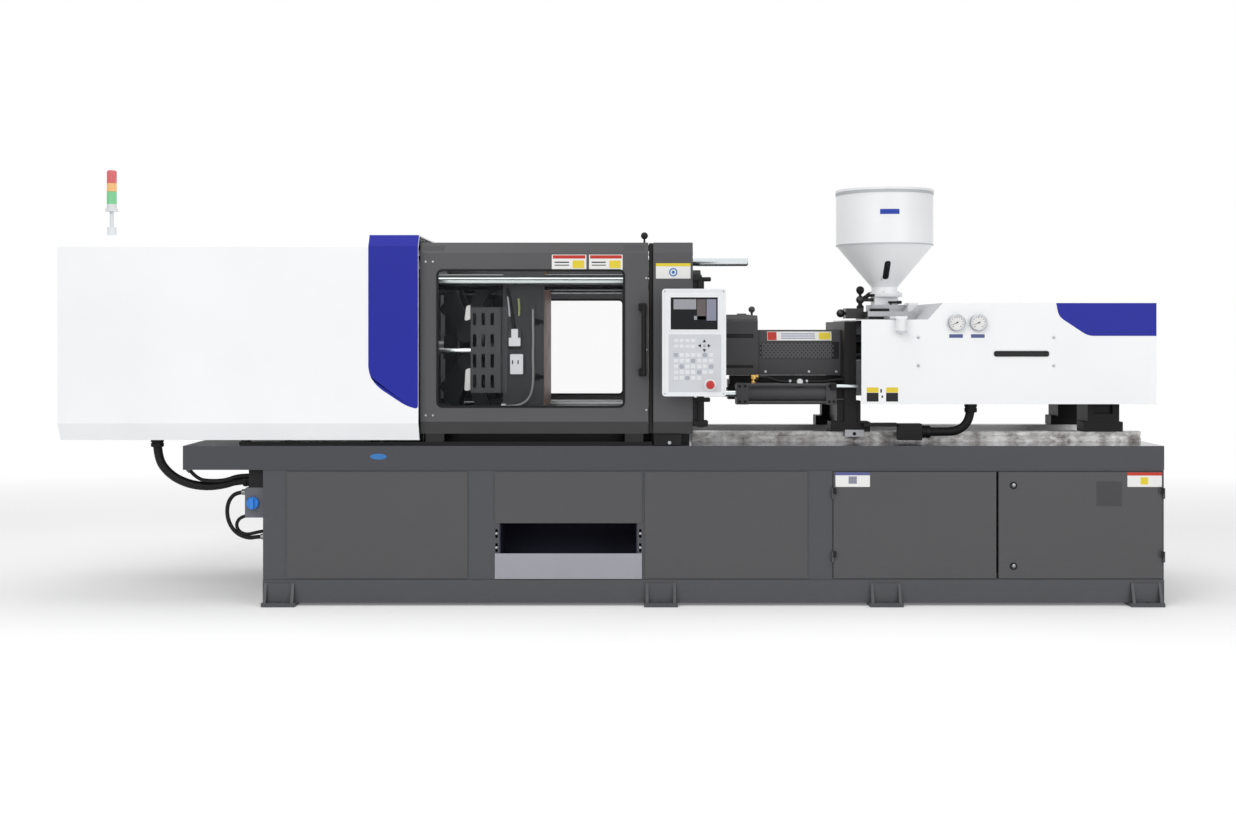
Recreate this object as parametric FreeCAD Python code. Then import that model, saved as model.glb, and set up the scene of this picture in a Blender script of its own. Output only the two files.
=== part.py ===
"""Injection moulding machine: toggle clamp, sliding gates, injection carriage and hopper on one bed.

Millimetres, +X towards the injection end, +Z up. The machine's own centre plane is Y = 0 while the
pieces are made, and every piece is moved by the same step, so that the whole stands over its origin.
"""
import FreeCAD, Part
import math
import os

V = FreeCAD.Vector

# Overall lengths and heights.
MACHINE_END = 2697.0
BED_LEFT = -2100.0
BED_RIGHT = 2691.0
BASE_LEFT = -1710.0
BED_HALF = 600.0
DECK_TOP = 781.0
BAND_BOTTOM = 664.0
DECK_PLATE = 30.0
BED_WALL = 24.0
RAIL_BOTTOM = 15.0
RAIL_TOP = 127.0
PANEL_BOTTOM = 135.0
PANEL_TOP = 654.0
PANEL_SHEET = 6.0
AXIS_Z = 1255.0
RUN = 0.06
SEAT = 0.3

# Feet.
FOOT_WIDTH = 164.0
FOOT_REACH = 40.0
FOOT_PLATE = 20.0
FOOT_RIB = 14.0
FOOT_TOP = 112.0
FOOT_HOLE = 11.0
FOOT_X = (-1628.0, 233.0, 1330.0, 2600.0)

# Panels, chute and cabinet along the base.
LEFT_PANEL = (-1592.0, -710.0)
CHUTE = (-577.0, 141.0)
MIDDLE_PANEL = (156.0, 950.0)
CABINET = (1076.0, 2683.0)
PANEL_LAP = 22.0
CHUTE_TOP = 404.0
TRAY_BOTTOM = 132.0
TRAY_TOP = 256.0
TRAY_SHEET = 4.0
TRAY_DEPTH = 420.0
CABINET_DEPTH = 420.0
DOOR_SHEET = 4.0
DOOR_DEPTH = 24.0
DOOR_GAP = 12.0
DOOR_SPLIT = 1877.0
HINGE_R = 6.0
HINGE_PIN = 3.0
HINGE_HALF = 26.0
HINGE_Z = (240.0, 550.0)
HINGE_OUT = 7.0
LATCH_X = 1955.0
LATCH_R = 11.0

# Clamp: platens, tie bars, toggle.
PLATEN_HALF = 400.0
PLATEN_THICK = 200.0
FIXED_FACE = 185.0
MOVING_FACE = -347.0
MOVING_THICK = 206.0
REAR_FACE = -961.0
BAR_R = 40.0
BAR_OFF = 333.0
BAR_LEFT = -1500.0
NUT_R = 62.0
NUT_LONG = 56.0
NUT_BORE = BAR_R
SHOE_IN = 250.0
PIVOT_HALF = 330.0
PIVOT_REACH = 100.0
LINK_LONG = 280.0
EYE_R = 48.0
KNEE_R = 42.0
LINK_HALF = 34.0
PIN_R = 24.0
PLANE_GAP = 5.0
PLATE_THICK = 50.0
ARM_IN = 40.0
LUG_R = 130.0
LUG_TURN = math.radians(20.0)
CROSS_EYE = 34.0
CROSS_PIN = 18.0
ROD_R = 35.0
PISTON_R = 64.0
PISTON_LONG = 60.0
CYL_R = 105.0
CYL_LEFT = -1700.0
CYL_HEAD = 50.0
ROD_TAIL = -1520.0
LOCATE_R = 62.5
CONE_R = 115.0
MOULD_HOLE_R = 8.0
MOULD_HOLE_DEEP = 40.0
MOULD_PITCH_Y = 420.0
MOULD_PITCH_Z = 420.0
EJECT_R = 20.0
EJECT_DISC_R = 68.0
EJECT_DISC = 20.0
EJECT_BACK = 127.0
SAFE_R = 27.0
SAFE_Y = -300.0
SAFE_Z = 1698.0
SAFE_END = 684.0
SAFE_LEFT = -470.0
SCALE_R = 14.0
SCALE_Y = -290.0
SCALE_Z = 1242.0
SCALE_LEFT = -1260.0

# Clamp cover, stack light.
COVER_OUT = 640.0
COVER_RIGHT = -945.0
COVER_BOTTOM = 810.0
COVER_TOP = 1810.0
COVER_BEVEL_LOW = 893.0
COVER_BEVEL_HIGH = 1752.0
COVER_BEVEL_IN = 40.0
COVER_SHEET = 6.0
POST_Y = 480.0
POST_HALF = 20.0
POST_X = (-1820.0, -1180.0)
LIGHT_X = -2498.0
LIGHT_Y = -450.0
LIGHT_R = 24.0
LIGHT_POLE_R = 10.0
LIGHT_CAP = 1950.0
LIGHT_LENSES = ((1973.0, 2036.0), (2036.0, 2078.0), (2078.0, 2142.0))
LIGHT_FLANGE_R = 31.0

# Gates, columns.
GATE_LEFT = -942.0
GATE_RIGHT = 173.0
GATE_FRONT = 595.0
GATE_DEEP = 40.0
GATE_BOTTOM = 840.0
GATE_TOP = 1775.0
GATE_FOLD_LOW = 900.0
GATE_FOLD_HIGH = 1724.0
GATE_FOLD_IN = 16.0
COVER_LIP = GATE_FRONT - GATE_FOLD_IN + 6.0
GATE_SHEET = 4.0
WINDOW_X = (-856.0, 52.0)
WINDOW_Z = (974.0, 1637.0)
REAR_WINDOW_Z = (983.0, 1517.0)
WINDOW_R = 22.0
PANE_LAP = 16.0
PANE = 6.0
HANDLE_X = 150.0
HANDLE_Z = (1124.0, 1476.0)
HANDLE_R = 12.0
HANDLE_OUT = 52.0
KNOB_X = 154.0
KNOB_Z = 1809.0
KNOB_R = 17.5
STEM_R = 5.0
TRACK_LEFT = -1830.0
TRACK_RIGHT = 190.0
TRACK_WIDE = 20.0
TRACK_HIGH = 18.0
HEAD_TRACK_Z = (GATE_TOP - 40.0, GATE_TOP - 10.0)
HEAD_TRACK_IN = 7.0
COLUMN_X = (197.0, 390.0)
COLUMN_SHEET = 5.0

# Moving platen fittings.
GUARD_X = (-712.0, -562.0)
GUARD_Z = (1033.0, 1461.0)
GUARD_OUT = 430.0
GUARD_SHEET = 3.0
GUARD_COLUMNS = (-692.0, -649.0, -604.0)
GUARD_SLOT = 18.0
GUARD_ROWS = ((1058.0, 1123.0), (1159.0, 1226.0), (1264.0, 1326.0), (1371.0, 1431.0))
SOCKET_X = (-515.0, -451.0)
SOCKET_Z = (1126.0, 1226.0)
SOCKET_OUT = 26.0
PLUG_X = (-524.0, -462.0)
PLUG_Z = (1266.0, 1352.0)
PLATEN_CORD_R = 6.0

# Injection unit.
RAIL_X = (400.0, 2680.0)
RAIL_Y = 280.0
RAIL_HALF = 30.0
RAIL_HIGH = 832.0
FRONT_X = (1170.0, 1230.0)
FRONT_HALF = 335.0
FRONT_Z = (862.0, AXIS_Z + 135.0)
BACK_X = (2400.0, 2560.0)
BACK_HALF = 340.0
SHOE_HALF = 55.0
SHOE_GAP = 0.3
SHOE_TOP = 882.0
SHOE_LONG = 200.0
BARREL_R = 70.0
BARREL_BORE = 28.0
BARREL_RIGHT = 1690.0
BARREL_LEFT = 560.0
NOZZLE_R = 34.0
NOZZLE_TIP = 400.0
NOZZLE_TIP_R = 16.0
NOZZLE_BORE = 6.0
BAND_R = 80.0
BAND_LONG = 78.0
BAND_STEP = 100.0
BAND_COUNT = 5
BAND_START = 600.0
GUIDE_R = 30.0
GUIDE_Y = 210.0
BARREL_GUARD_X = (743.0, 1168.0)
BARREL_GUARD_Z = (1115.0, 1348.0)
BARREL_GUARD_HALF = 200.0
GUARD_WALL = 4.0
PERF_COLUMNS = 8
PERF_ROWS = 2
PURGE_X = (456.0, 743.0)
PURGE_Z = (1115.0, 1423.0)
PURGE_HALF = 221.0
PURGE_HINGE_R = 8.0
PURGE_KNOB_R = 17.0
CYLINDER_Y = 290.0
CYLINDER_Z = 1024.0
CYLINDER_R = 47.0
CYLINDER_BORE = 36.0
CYLINDER_X = (684.0, 1077.0)
CYLINDER_CAP = (624.0, 1129.0)
CYLINDER_CAP_HALF = 54.0
CYLINDER_ROD_R = 16.0
CYLINDER_ROD_END = 860.0
CYLINDER_PISTON = 24.0
COVER_X = 1233.0
COVER_STEP_X = (1562.0, 1637.0)
COVER_LOW = 979.0
COVER_NOTCH = AXIS_Z + 144.0
COVER_HIGH = COVER_NOTCH + 82.0
INJECT_HALF = 480.0
INJECT_SHEET = 5.0
GAUGE_X = (1702.0, 1810.0)
GAUGE_Z = COVER_HIGH - 98.0
GAUGE_R = 42.0
GAUGE_OUT = 26.0
DRIVE_X = (1790.0, 1910.0)
DRIVE_HALF = 260.0
MOTOR_R = 130.0
MOTOR_END = 2160.0
SCREW_TIP = 600.0
SCREW_CORE = 20.0
SCREW_PITCH = 84.0
SCREW_TURNS = 10
THROAT_X = 1433.0
THROAT_HALF = 62.0
THROAT_BORE = 34.0
HOPPER_R = 253.0
HOPPER_SHEET = 3.0
HOPPER_RIM = 2078.0
HOPPER_SEAM = 1794.0
HOPPER_NECK_R = 68.0
HOPPER_FLANGE_R = 92.0
BASE_TOP = COVER_NOTCH + 137.0
HOPPER_FOOT = BASE_TOP + 12.0
BASE_PLATE_X = (THROAT_X - 120.0, COVER_STEP_X[0] - 6.0)
LEVER_BALL = 22.0
LID_HINGE_Y = 272.0
SIGHT_X = THROAT_X - 13.0
SIGHT_Z = (1612.0, 1704.0)
SIGHT_HALF = 16.0
DRAIN_R = 26.0
DRAIN_X = THROAT_X - 8.0
DRAIN_LOW = COVER_NOTCH - 67.0
HOSE_R = 22.0

# Operator's panel.
PANEL_X = (236.0, 541.0)
PANEL_Z = (1030.0, 1544.0)
PANEL_FRONT = 750.0
PANEL_DEEP = 58.0
POLE_X = 427.0
POLE_Y = -600.0
POLE_R = 18.0
POLE_Z = (873.0, 1604.0)
STOP_X = 465.0
STOP_Z = 1085.0
STOP_R = 21.0
STOP_STEM = 11.0
STOP_OUT = 30.0

# Junction box under the clamp cover and the lines that hang to it.
BOX_X = (-1807.0, -1710.0)
BOX_Y = (-560.0, -430.0)
BOX_Z = (426.0, 573.0)
SOCKETS_LEFT = -1788.0
SOCKETS_Z = (573.0, 662.0)
KNOB_AXIS = (-1767.0, 498.0)
SELECTOR_R = 31.0
SELECTOR_OUT = 38.0
MAIN_CORD_R = 22.0
SIGNAL_CORD_R = 9.0
OIL_HOSE_R = 10.0

# Routes of the cords and hoses; each point is chosen by hand.
MAIN_CORD = [(-2252, -510, 810), (-2252, -510, 715), (-2195, -508, 635), (-2110, -505, 588),
             (-2015, -502, 572), (-1925, -500, 582), (-1862, -500, 604), (-1788, -500, 604)]
SIGNAL_CORD = [(-2078, -542, 652), (-2044, -542, 613), (-1980, -542, 604), (-1905, -542, 608),
               (-1845, -542, 632), (-1788, -542, 632)]
OIL_HOSE = [(-1807, -500, 545), (-1859, -500, 545), (-1897, -502, 513), (-1911, -506, 460),
            (-1900, -510, 395), (-1862, -512, 342), (-1803, -512, 318), (-1757, -510, 326),
            (-1710, -510, 326)]
PLATEN_CORD = [(-402, -406.4, 1452), (-402, -406.4, 1380), (-400, -406.4, 1300), (-403, -406.4, 1220),
               (-400, -406.4, 1140), (-402, -406.4, 1070), (-414, -406.4, 1015), (-445, -406.4, 980),
               (-490, -406.4, 966), (-538, -406.4, 966)]
HOSE = [(1796, -390, 979), (1796, -390, 900), (1735, -390, 838), (1640, -390, 836), (1546, -390, 836)]

# The origin lies under the middle of the whole, which reaches further out at the front than behind.
FRONT_REACH = PANEL_FRONT + STOP_OUT
CENTRE_Y = 0.5 * (FRONT_REACH - COVER_OUT)


def box(xs, ys, zs):
    """Block between two X, two Y and two Z values."""
    x0, x1 = min(xs), max(xs)
    y0, y1 = min(ys), max(ys)
    z0, z1 = min(zs), max(zs)
    return Part.makeBox(x1 - x0, y1 - y0, z1 - z0, V(x0, y0, z0))


def rod_x(radius, xs, y, z):
    """Round bar along X."""
    return Part.makeCylinder(radius, max(xs) - min(xs), V(min(xs), y, z), V(1, 0, 0))


def rod_y(radius, ys, x, z):
    """Round bar along Y."""
    return Part.makeCylinder(radius, max(ys) - min(ys), V(x, min(ys), z), V(0, 1, 0))


def rod_z(radius, zs, x, y):
    """Round bar along Z."""
    return Part.makeCylinder(radius, max(zs) - min(zs), V(x, y, min(zs)), V(0, 0, 1))


def fuse(pieces):
    """One solid from touching pieces."""
    return pieces[0].multiFuse(list(pieces[1:])).removeSplitter()


def cut(body, tools):
    """Body less its tools."""
    return body.cut(Part.makeCompound(list(tools)))


def group(pieces):
    """Separate solids of one node."""
    return Part.makeCompound(list(pieces))


def face_of(points):
    """Flat face inside a closed outline."""
    return Part.Face(Part.makePolygon(list(points) + [points[0]]))


def plate_xz(outline, ys):
    """Outline in X and Z, carried along Y."""
    y0, y1 = min(ys), max(ys)
    return face_of([V(x, y0, z) for x, z in outline]).extrude(V(0, y1 - y0, 0))


def plate_yz(outline, xs):
    """Outline in Y and Z, carried along X."""
    x0, x1 = min(xs), max(xs)
    return face_of([V(x0, y, z) for y, z in outline]).extrude(V(x1 - x0, 0, 0))


def rounded_xz(xs, zs, ys, radius):
    """Block whose four edges along Y are rounded."""
    body = box(xs, ys, zs)
    long_way = max(ys) - min(ys)
    edges = [e for e in body.Edges
             if abs(e.Length - long_way) < 1e-6 and abs(e.tangentAt(e.FirstParameter).y) > 0.99]
    return body.makeFillet(radius, edges)


def turned(profile, axis_point, axis):
    """Solid turned from (radius, height) pairs about an axis through a point."""
    face = face_of([V(r, 0, h) for r, h in profile])
    solid = face.revolve(V(0, 0, 0), V(0, 0, 1), 360)
    turn = FreeCAD.Rotation(V(0, 0, 1), axis)
    solid.Placement = FreeCAD.Placement(axis_point, turn)
    return solid


def flipped(shape):
    """The same piece on the other side of the centre plane."""
    return shape.mirror(V(0, 0, 0), V(0, 1, 0))


def both(shape):
    """A piece and its mirror image."""
    return [shape, flipped(shape)]


def save(name, shape):
    """Writes one piece, stood over the origin."""
    moved = shape.copy()
    moved.translate(V(0, CENTRE_Y, 0))
    moved.exportStep("parts/" + name + ".step")


def cord_path(points):
    """Straight runs joined by tangent arcs, and the radii of the arcs.

    Each arc's radius is 0.45 of the shorter run over the tangent of half the turn.
    """
    here = V(*points[0])
    edges = []
    radii = []
    for before, corner, after in zip(points, points[1:], points[2:]):
        corner = V(*corner)
        back = V(*before) - corner
        ahead = V(*after) - corner
        reach = 0.45 * min(back.Length, ahead.Length)
        back.normalize()
        ahead.normalize()
        half_turn = 0.5 * (math.pi - back.getAngle(ahead))
        radius = reach / math.tan(half_turn)
        radii.append(radius)
        start = corner + back * reach
        end = corner + ahead * reach
        inward = back + ahead
        inward.normalize()
        middle = corner + inward * (radius / math.cos(half_turn) - radius)
        edges.append(Part.LineSegment(here, start).toShape())
        edges.append(Part.Arc(start, middle, end).toShape())
        here = end
    edges.append(Part.LineSegment(here, V(*points[-1])).toShape())
    return Part.Wire(edges), radii


def cord(name, points, radius):
    """Round cord along its route, which prints its length, its radii and a check of its volume."""
    path, radii = cord_path(points)
    start = V(*points[0])
    ring = Part.Wire([Part.makeCircle(radius, start, V(*points[1]) - start)])
    tube = path.makePipeShell([ring], True, False)
    share = tube.Volume / (math.pi * radius ** 2 * path.Length)
    print(name, "length", round(path.Length), "least radius", round(min(radii)),
          "radii", [round(r) for r in radii], "volume share", round(share, 4))
    return tube


def base_foot(x):
    """Foot bracket: plate with an anchor hole and two gussets against the lower rail."""
    half = 0.5 * FOOT_WIDTH
    out = BED_HALF + FOOT_REACH
    plate = box((x - half, x + half), (-out, -BED_HALF + 2 * FOOT_REACH), (0, FOOT_PLATE))
    plate = cut(plate, [rod_z(FOOT_HOLE, (-1, FOOT_PLATE + 1), x, -out + 0.5 * FOOT_REACH)])
    rib = [(-BED_HALF, FOOT_PLATE), (-out + 4, FOOT_PLATE), (-BED_HALF - 6, FOOT_TOP), (-BED_HALF, FOOT_TOP)]
    left = plate_yz(rib, (x - half + 8, x - half + 8 + FOOT_RIB))
    right = plate_yz(rib, (x + half - 8 - FOOT_RIB, x + half - 8))
    back = box((x - half + 8, x + half - 8), (-BED_HALF - 6, -BED_HALF), (FOOT_PLATE, FOOT_TOP))
    return [plate, left, right, back]


def hinge_place(side):
    """X and Y of a cabinet door's hinge line; side is -1 for the left door and 1 for the right."""
    edge = CABINET[0] if side < 0 else CABINET[1]
    return edge + side * 4, -BED_HALF - HINGE_OUT


def bed_frame():
    """Welded bed: deck band over a hollow base with bays, lower rail, feet, cover posts, hinge halves."""
    band = box((BED_LEFT, BED_RIGHT), (-BED_HALF, BED_HALF), (BAND_BOTTOM, DECK_TOP))
    skin = BED_HALF - PANEL_SHEET
    base = box((BASE_LEFT, BED_RIGHT), (-skin, skin), (RAIL_BOTTOM, BAND_BOTTOM))
    rail = box((BASE_LEFT, BED_RIGHT), (-BED_HALF, BED_HALF), (RAIL_BOTTOM, RAIL_TOP))
    body = fuse([band, base, rail])
    inner = BED_HALF - BED_WALL
    under = DECK_TOP - DECK_PLATE
    low = PANEL_BOTTOM + PANEL_LAP
    high = PANEL_TOP - PANEL_LAP
    cuts = [box((BED_LEFT + BED_WALL, BASE_LEFT), (-inner, inner), (BAND_BOTTOM, under))]
    for left, right in (LEFT_PANEL, CHUTE, MIDDLE_PANEL, CABINET):
        across = (left + PANEL_LAP, right - PANEL_LAP)
        cuts.append(box(across, (-inner, inner), (low, under)))
        cuts.append(box(across, (-BED_HALF - 1, BED_HALF + 1), (low, high)))
    cuts.append(box((CHUTE[0] + PANEL_LAP, CHUTE[1] - PANEL_LAP), (-SHOE_IN + 30, SHOE_IN - 30),
                    (under - 1, DECK_TOP + 1)))
    cuts.append(box((CABINET[0] - 3, CABINET[1] + 3), (-BED_HALF - 1, -BED_HALF + DOOR_DEPTH + 2),
                    (PANEL_BOTTOM - 2, PANEL_TOP + 2)))
    cuts.append(box((BASE_LEFT + BED_WALL, BED_RIGHT - BED_WALL), (-inner, inner),
                    (RAIL_BOTTOM - 1, RAIL_TOP - BED_WALL)))
    body = cut(body, cuts)
    wall_y = -BED_HALF + CABINET_DEPTH
    wall = box((CABINET[0] + PANEL_LAP - 1, CABINET[1] - PANEL_LAP + 1), (wall_y, wall_y + BED_WALL),
               (low - 1, under + 1))
    pieces = [body, wall]
    for x in FOOT_X:
        front = base_foot(x)
        pieces += front + [flipped(piece) for piece in front]
    roof = COVER_TOP - COVER_SHEET
    for x in POST_X:
        for y in (-POST_Y, POST_Y):
            pieces.append(box((x - POST_HALF, x + POST_HALF), (y - POST_HALF, y + POST_HALF),
                              (DECK_TOP, roof)))
    exit_point, after = (V(*point) for point in SIGNAL_CORD[:2])
    way = (after - exit_point).normalize()
    pieces.append(Part.makeCylinder(SIGNAL_CORD_R + 5, 30, exit_point - way * 30, way))
    for side in (-1, 1):
        x, y = hinge_place(side)
        for z in HINGE_Z:
            pieces.append(rod_z(HINGE_R, (z - HINGE_HALF, z - SEAT), x, y))
            pieces.append(rod_z(HINGE_PIN, (z - SEAT, z + HINGE_HALF), x, y))
            pieces.append(box((x, x + side * 4), (y, -skin), (z - HINGE_HALF, z - SEAT)))
    return fuse(pieces)


def bed_panels():
    """Screwed panels that close the bays at the front and back, and the one above the chute."""
    spans = (LEFT_PANEL, CHUTE, MIDDLE_PANEL)
    skin = BED_HALF - PANEL_SHEET
    panels = []
    for left, right in spans:
        floor = CHUTE_TOP if (left, right) == CHUTE else PANEL_BOTTOM
        panels.append(box((left, right), (-BED_HALF, -skin), (floor, PANEL_TOP)))
    for left, right in spans + (CABINET,):
        panels.append(box((left, right), (skin, BED_HALF), (PANEL_BOTTOM, PANEL_TOP)))
    return group(panels)


def chute_tray():
    """Folded sheet tray under the mould space: front lip, floor and a slope up to the back."""
    back = -BED_HALF + TRAY_DEPTH
    skin = -BED_HALF + PANEL_SHEET
    floor = PANEL_BOTTOM + PANEL_LAP + SEAT
    top = CHUTE_TOP + 30
    left = CHUTE[0] + PANEL_LAP + 1
    right = CHUTE[1] - PANEL_LAP - 1
    outer = [(skin, floor), (back - 190, floor), (back, top), (skin, top)]
    inner = [(skin - 9, floor + TRAY_SHEET), (back - 193, floor + TRAY_SHEET),
             (back - TRAY_SHEET * 1.3, top + 1), (skin - 9, top + 1)]
    body = plate_yz(outer, (left, right)).cut(plate_yz(inner, (left + TRAY_SHEET, right - TRAY_SHEET)))
    lip = box((CHUTE[0], CHUTE[1]), (-BED_HALF, skin), (TRAY_BOTTOM, TRAY_TOP))
    return fuse([body, lip])


def switchgear():
    """Mounting plate in the cabinet with rows of switching devices, terminals and ducts."""
    wall_y = -BED_HALF + CABINET_DEPTH
    low = PANEL_BOTTOM + PANEL_LAP + 30
    high = PANEL_TOP - PANEL_LAP - 24
    left = CABINET[0] + PANEL_LAP + 60
    right = CABINET[1] - PANEL_LAP - 60
    pieces = [box((left, right), (wall_y - 6, wall_y), (low, high))]
    rows = 3
    pitch = (high - low) / rows
    for row in range(rows):
        z = low + pitch * row
        pieces.append(box((left + 20, right - 20), (wall_y - 46, wall_y - 6), (z + 6, z + 34)))
        count = 8 + 2 * row
        step = (right - left - 80) / count
        for number in range(count):
            x = left + 40 + step * number
            deep = 70 + 18 * ((number * 3 + row) % 3)
            pieces.append(box((x, x + step * 0.82), (wall_y - deep, wall_y - 6), (z + 48, z + pitch - 16)))
    return fuse(pieces)


def cabinet_door(side):
    """Door pan with returned edges and its hinge halves; the right one carries two turning latches."""
    left, right = (CABINET[0], DOOR_SPLIT - 0.5 * DOOR_GAP) if side < 0 else \
        (DOOR_SPLIT + 0.5 * DOOR_GAP, CABINET[1])
    ys = (-BED_HALF, -BED_HALF + DOOR_DEPTH)
    pan = box((left, right), ys, (PANEL_BOTTOM, PANEL_TOP))
    pan = cut(pan, [box((left + DOOR_SHEET, right - DOOR_SHEET), (ys[0] + DOOR_SHEET, ys[1] + 1),
                        (PANEL_BOTTOM + DOOR_SHEET, PANEL_TOP - DOOR_SHEET))])
    pieces = [pan]
    x, y = hinge_place(side)
    for z in HINGE_Z:
        pieces.append(rod_z(HINGE_R, (z, z + HINGE_HALF), x, y))
        pieces.append(box((x, x - side * 22), (y - 2, -BED_HALF), (z, z + HINGE_HALF)))
    if side > 0:
        for z in (PANEL_BOTTOM + 59, PANEL_TOP - 66):
            pieces.append(rod_y(LATCH_R, (-BED_HALF - 4, -BED_HALF), LATCH_X, z))
            pieces.append(rod_y(0.6 * LATCH_R, (-BED_HALF, ys[1] + 4), LATCH_X, z))
    door = fuse(pieces)
    return cut(door, [rod_z(HINGE_PIN + RUN, (z - 1, z + HINGE_HALF + 1), x, y) for z in HINGE_Z])


def plane(number):
    """Both Y limits of one layer of the toggle; the layers lie side by side from the centre out."""
    start = ARM_IN + number * (PLATE_THICK + PLANE_GAP)
    return start, start + PLATE_THICK


def bar_places():
    """Y and Z of the four tie bars."""
    return [(y, AXIS_Z + z) for y in (-BAR_OFF, BAR_OFF) for z in (-BAR_OFF, BAR_OFF)]


def platen_block(face, thick, side):
    """Square platen with chamfered corners; side is 1 where the body lies to the right of its face."""
    h = PLATEN_HALF
    c = 46.0
    z = AXIS_Z
    outline = [(-h + c, z - h), (h - c, z - h), (h, z - h + c), (h, z + h - c),
               (h - c, z + h), (-h + c, z + h), (-h, z + h - c), (-h, z - h + c)]
    return plate_yz(outline, (face, face + side * thick))


def platen_shoes(xs, bottom):
    """Two feet between a platen and the deck."""
    top = AXIS_Z - PLATEN_HALF + 1
    return [box(xs, (side * SHOE_IN, side * (PLATEN_HALF - 50)), (bottom, top)) for side in (-1, 1)]


def pivot_knots():
    """Places in X and Z of the toggle's pivots at rest, for the upper links; the lower ones mirror them."""
    rear = V(REAR_FACE + PIVOT_REACH, 0, AXIS_Z + PIVOT_HALF)
    front = V(MOVING_FACE - MOVING_THICK - PIVOT_REACH, 0, AXIS_Z + PIVOT_HALF)
    half = 0.5 * (front.x - rear.x)
    drop = math.sqrt(LINK_LONG ** 2 - half ** 2)
    knee = V(rear.x + half, 0, rear.z - drop)
    fold = math.atan2(drop, half)
    lug = V(rear.x + LUG_R * math.cos(fold + LUG_TURN), 0, rear.z - LUG_R * math.sin(fold + LUG_TURN))
    cross = V(2 * lug.x - rear.x, 0, rear.z)
    return {"rear": rear, "front": front, "knee": knee, "lug": lug, "cross": cross}


def lower(point):
    """The same place below the machine's axis."""
    return V(point.x, point.y, 2 * AXIS_Z - point.z)


def bar_between(a, b, half, ys):
    """Flat bar along the line from a to b, without its eyes."""
    along = (b - a).normalize()
    across = V(-along.z, 0, along.x) * half
    outline = [(p.x, p.z) for p in (a + across, b + across, b - across, a - across)]
    return plate_xz(outline, ys)


def pivot_lug(face_x, pivot, ys, radius):
    """Ear that carries a pivot, from a platen's face."""
    ear = rod_y(radius, ys, pivot.x, pivot.z)
    neck = box((face_x, pivot.x), ys, (pivot.z - radius, pivot.z + radius))
    return [ear, neck]


def rear_platen():
    """Toggle end platen with its ears and pivot stubs, bored for the tie bars and the piston rod."""
    knots = pivot_knots()
    body = [platen_block(REAR_FACE, PLATEN_THICK, -1)]
    body += platen_shoes((REAR_FACE - PLATEN_THICK, REAR_FACE), DECK_TOP)
    y0, y1 = plane(3)
    for pivot in (knots["rear"], lower(knots["rear"])):
        ears = pivot_lug(REAR_FACE, pivot, (y0, y1), EYE_R)
        ears.append(rod_y(PIN_R, (plane(2)[0], y1), pivot.x, pivot.z))
        for piece in ears:
            body += both(piece)
    holes = [rod_x(BAR_R + RUN, (REAR_FACE - PLATEN_THICK - 1, REAR_FACE + 1), y, z) for y, z in bar_places()]
    holes.append(rod_x(ROD_R + PLANE_GAP, (REAR_FACE - PLATEN_THICK - 1, REAR_FACE + 1), 0, AXIS_Z))
    holes.append(rod_x(SCALE_R + RUN, (REAR_FACE - PLATEN_THICK - 1, REAR_FACE + 1), SCALE_Y, SCALE_Z))
    return cut(fuse(body), holes)


def moving_platen():
    """Platen that carries one mould half, with ears behind it and shoes a hair above the deck."""
    knots = pivot_knots()
    back = MOVING_FACE - MOVING_THICK
    body = [platen_block(MOVING_FACE, MOVING_THICK, -1)]
    body += platen_shoes((back, MOVING_FACE), DECK_TOP + SEAT)
    y0, y1 = plane(2)
    for pivot in (knots["front"], lower(knots["front"])):
        ears = pivot_lug(back, pivot, (y0, y1), EYE_R)
        ears.append(rod_y(PIN_R, (y0, plane(3)[1]), pivot.x, pivot.z))
        for piece in ears:
            body += both(piece)
    through = (back - 1, MOVING_FACE + 1)
    holes = [rod_x(BAR_R + RUN, through, y, z) for y, z in bar_places()]
    holes.append(rod_x(EJECT_R + RUN, through, 0, AXIS_Z))
    holes += mould_holes(MOVING_FACE, -1)
    return cut(fuse(body), holes)


def mould_holes(face, side):
    """Four blind holes for the mould's bolts; side is the way into the platen."""
    xs = (face - side, face + side * MOULD_HOLE_DEEP)
    return [rod_x(MOULD_HOLE_R, xs, y, AXIS_Z + z)
            for y in (-0.5 * MOULD_PITCH_Y, 0.5 * MOULD_PITCH_Y)
            for z in (-0.5 * MOULD_PITCH_Z, 0.5 * MOULD_PITCH_Z)]


def fixed_platen():
    """Platen on the injection side: centring bore, cone for the nozzle, feet, guard hinge bar."""
    far = FIXED_FACE + PLATEN_THICK
    body = [platen_block(FIXED_FACE, PLATEN_THICK, 1)]
    body += platen_shoes((FIXED_FACE, far), DECK_TOP)
    hinge = purge_hinge()
    body.append(rod_x(PURGE_HINGE_R, (far, PURGE_X[1]), hinge.y, hinge.z))
    body.append(box((far, far + 14), (hinge.y - 20, hinge.y + 20), (hinge.z - 20, hinge.z + 20)))
    through = (FIXED_FACE - 1, far + 1)
    holes = [rod_x(BAR_R, through, y, z) for y, z in bar_places()]
    deep = 60.0
    holes.append(rod_x(LOCATE_R, (FIXED_FACE - 1, FIXED_FACE + deep), 0, AXIS_Z))
    cone_deep = PLATEN_THICK - deep + 1
    holes.append(turned([(0, 0), (LOCATE_R, 0), (CONE_R, cone_deep), (0, cone_deep)],
                        V(FIXED_FACE + deep, 0, AXIS_Z), V(1, 0, 0)))
    holes += mould_holes(FIXED_FACE, 1)
    return cut(fuse(body), holes)


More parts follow.
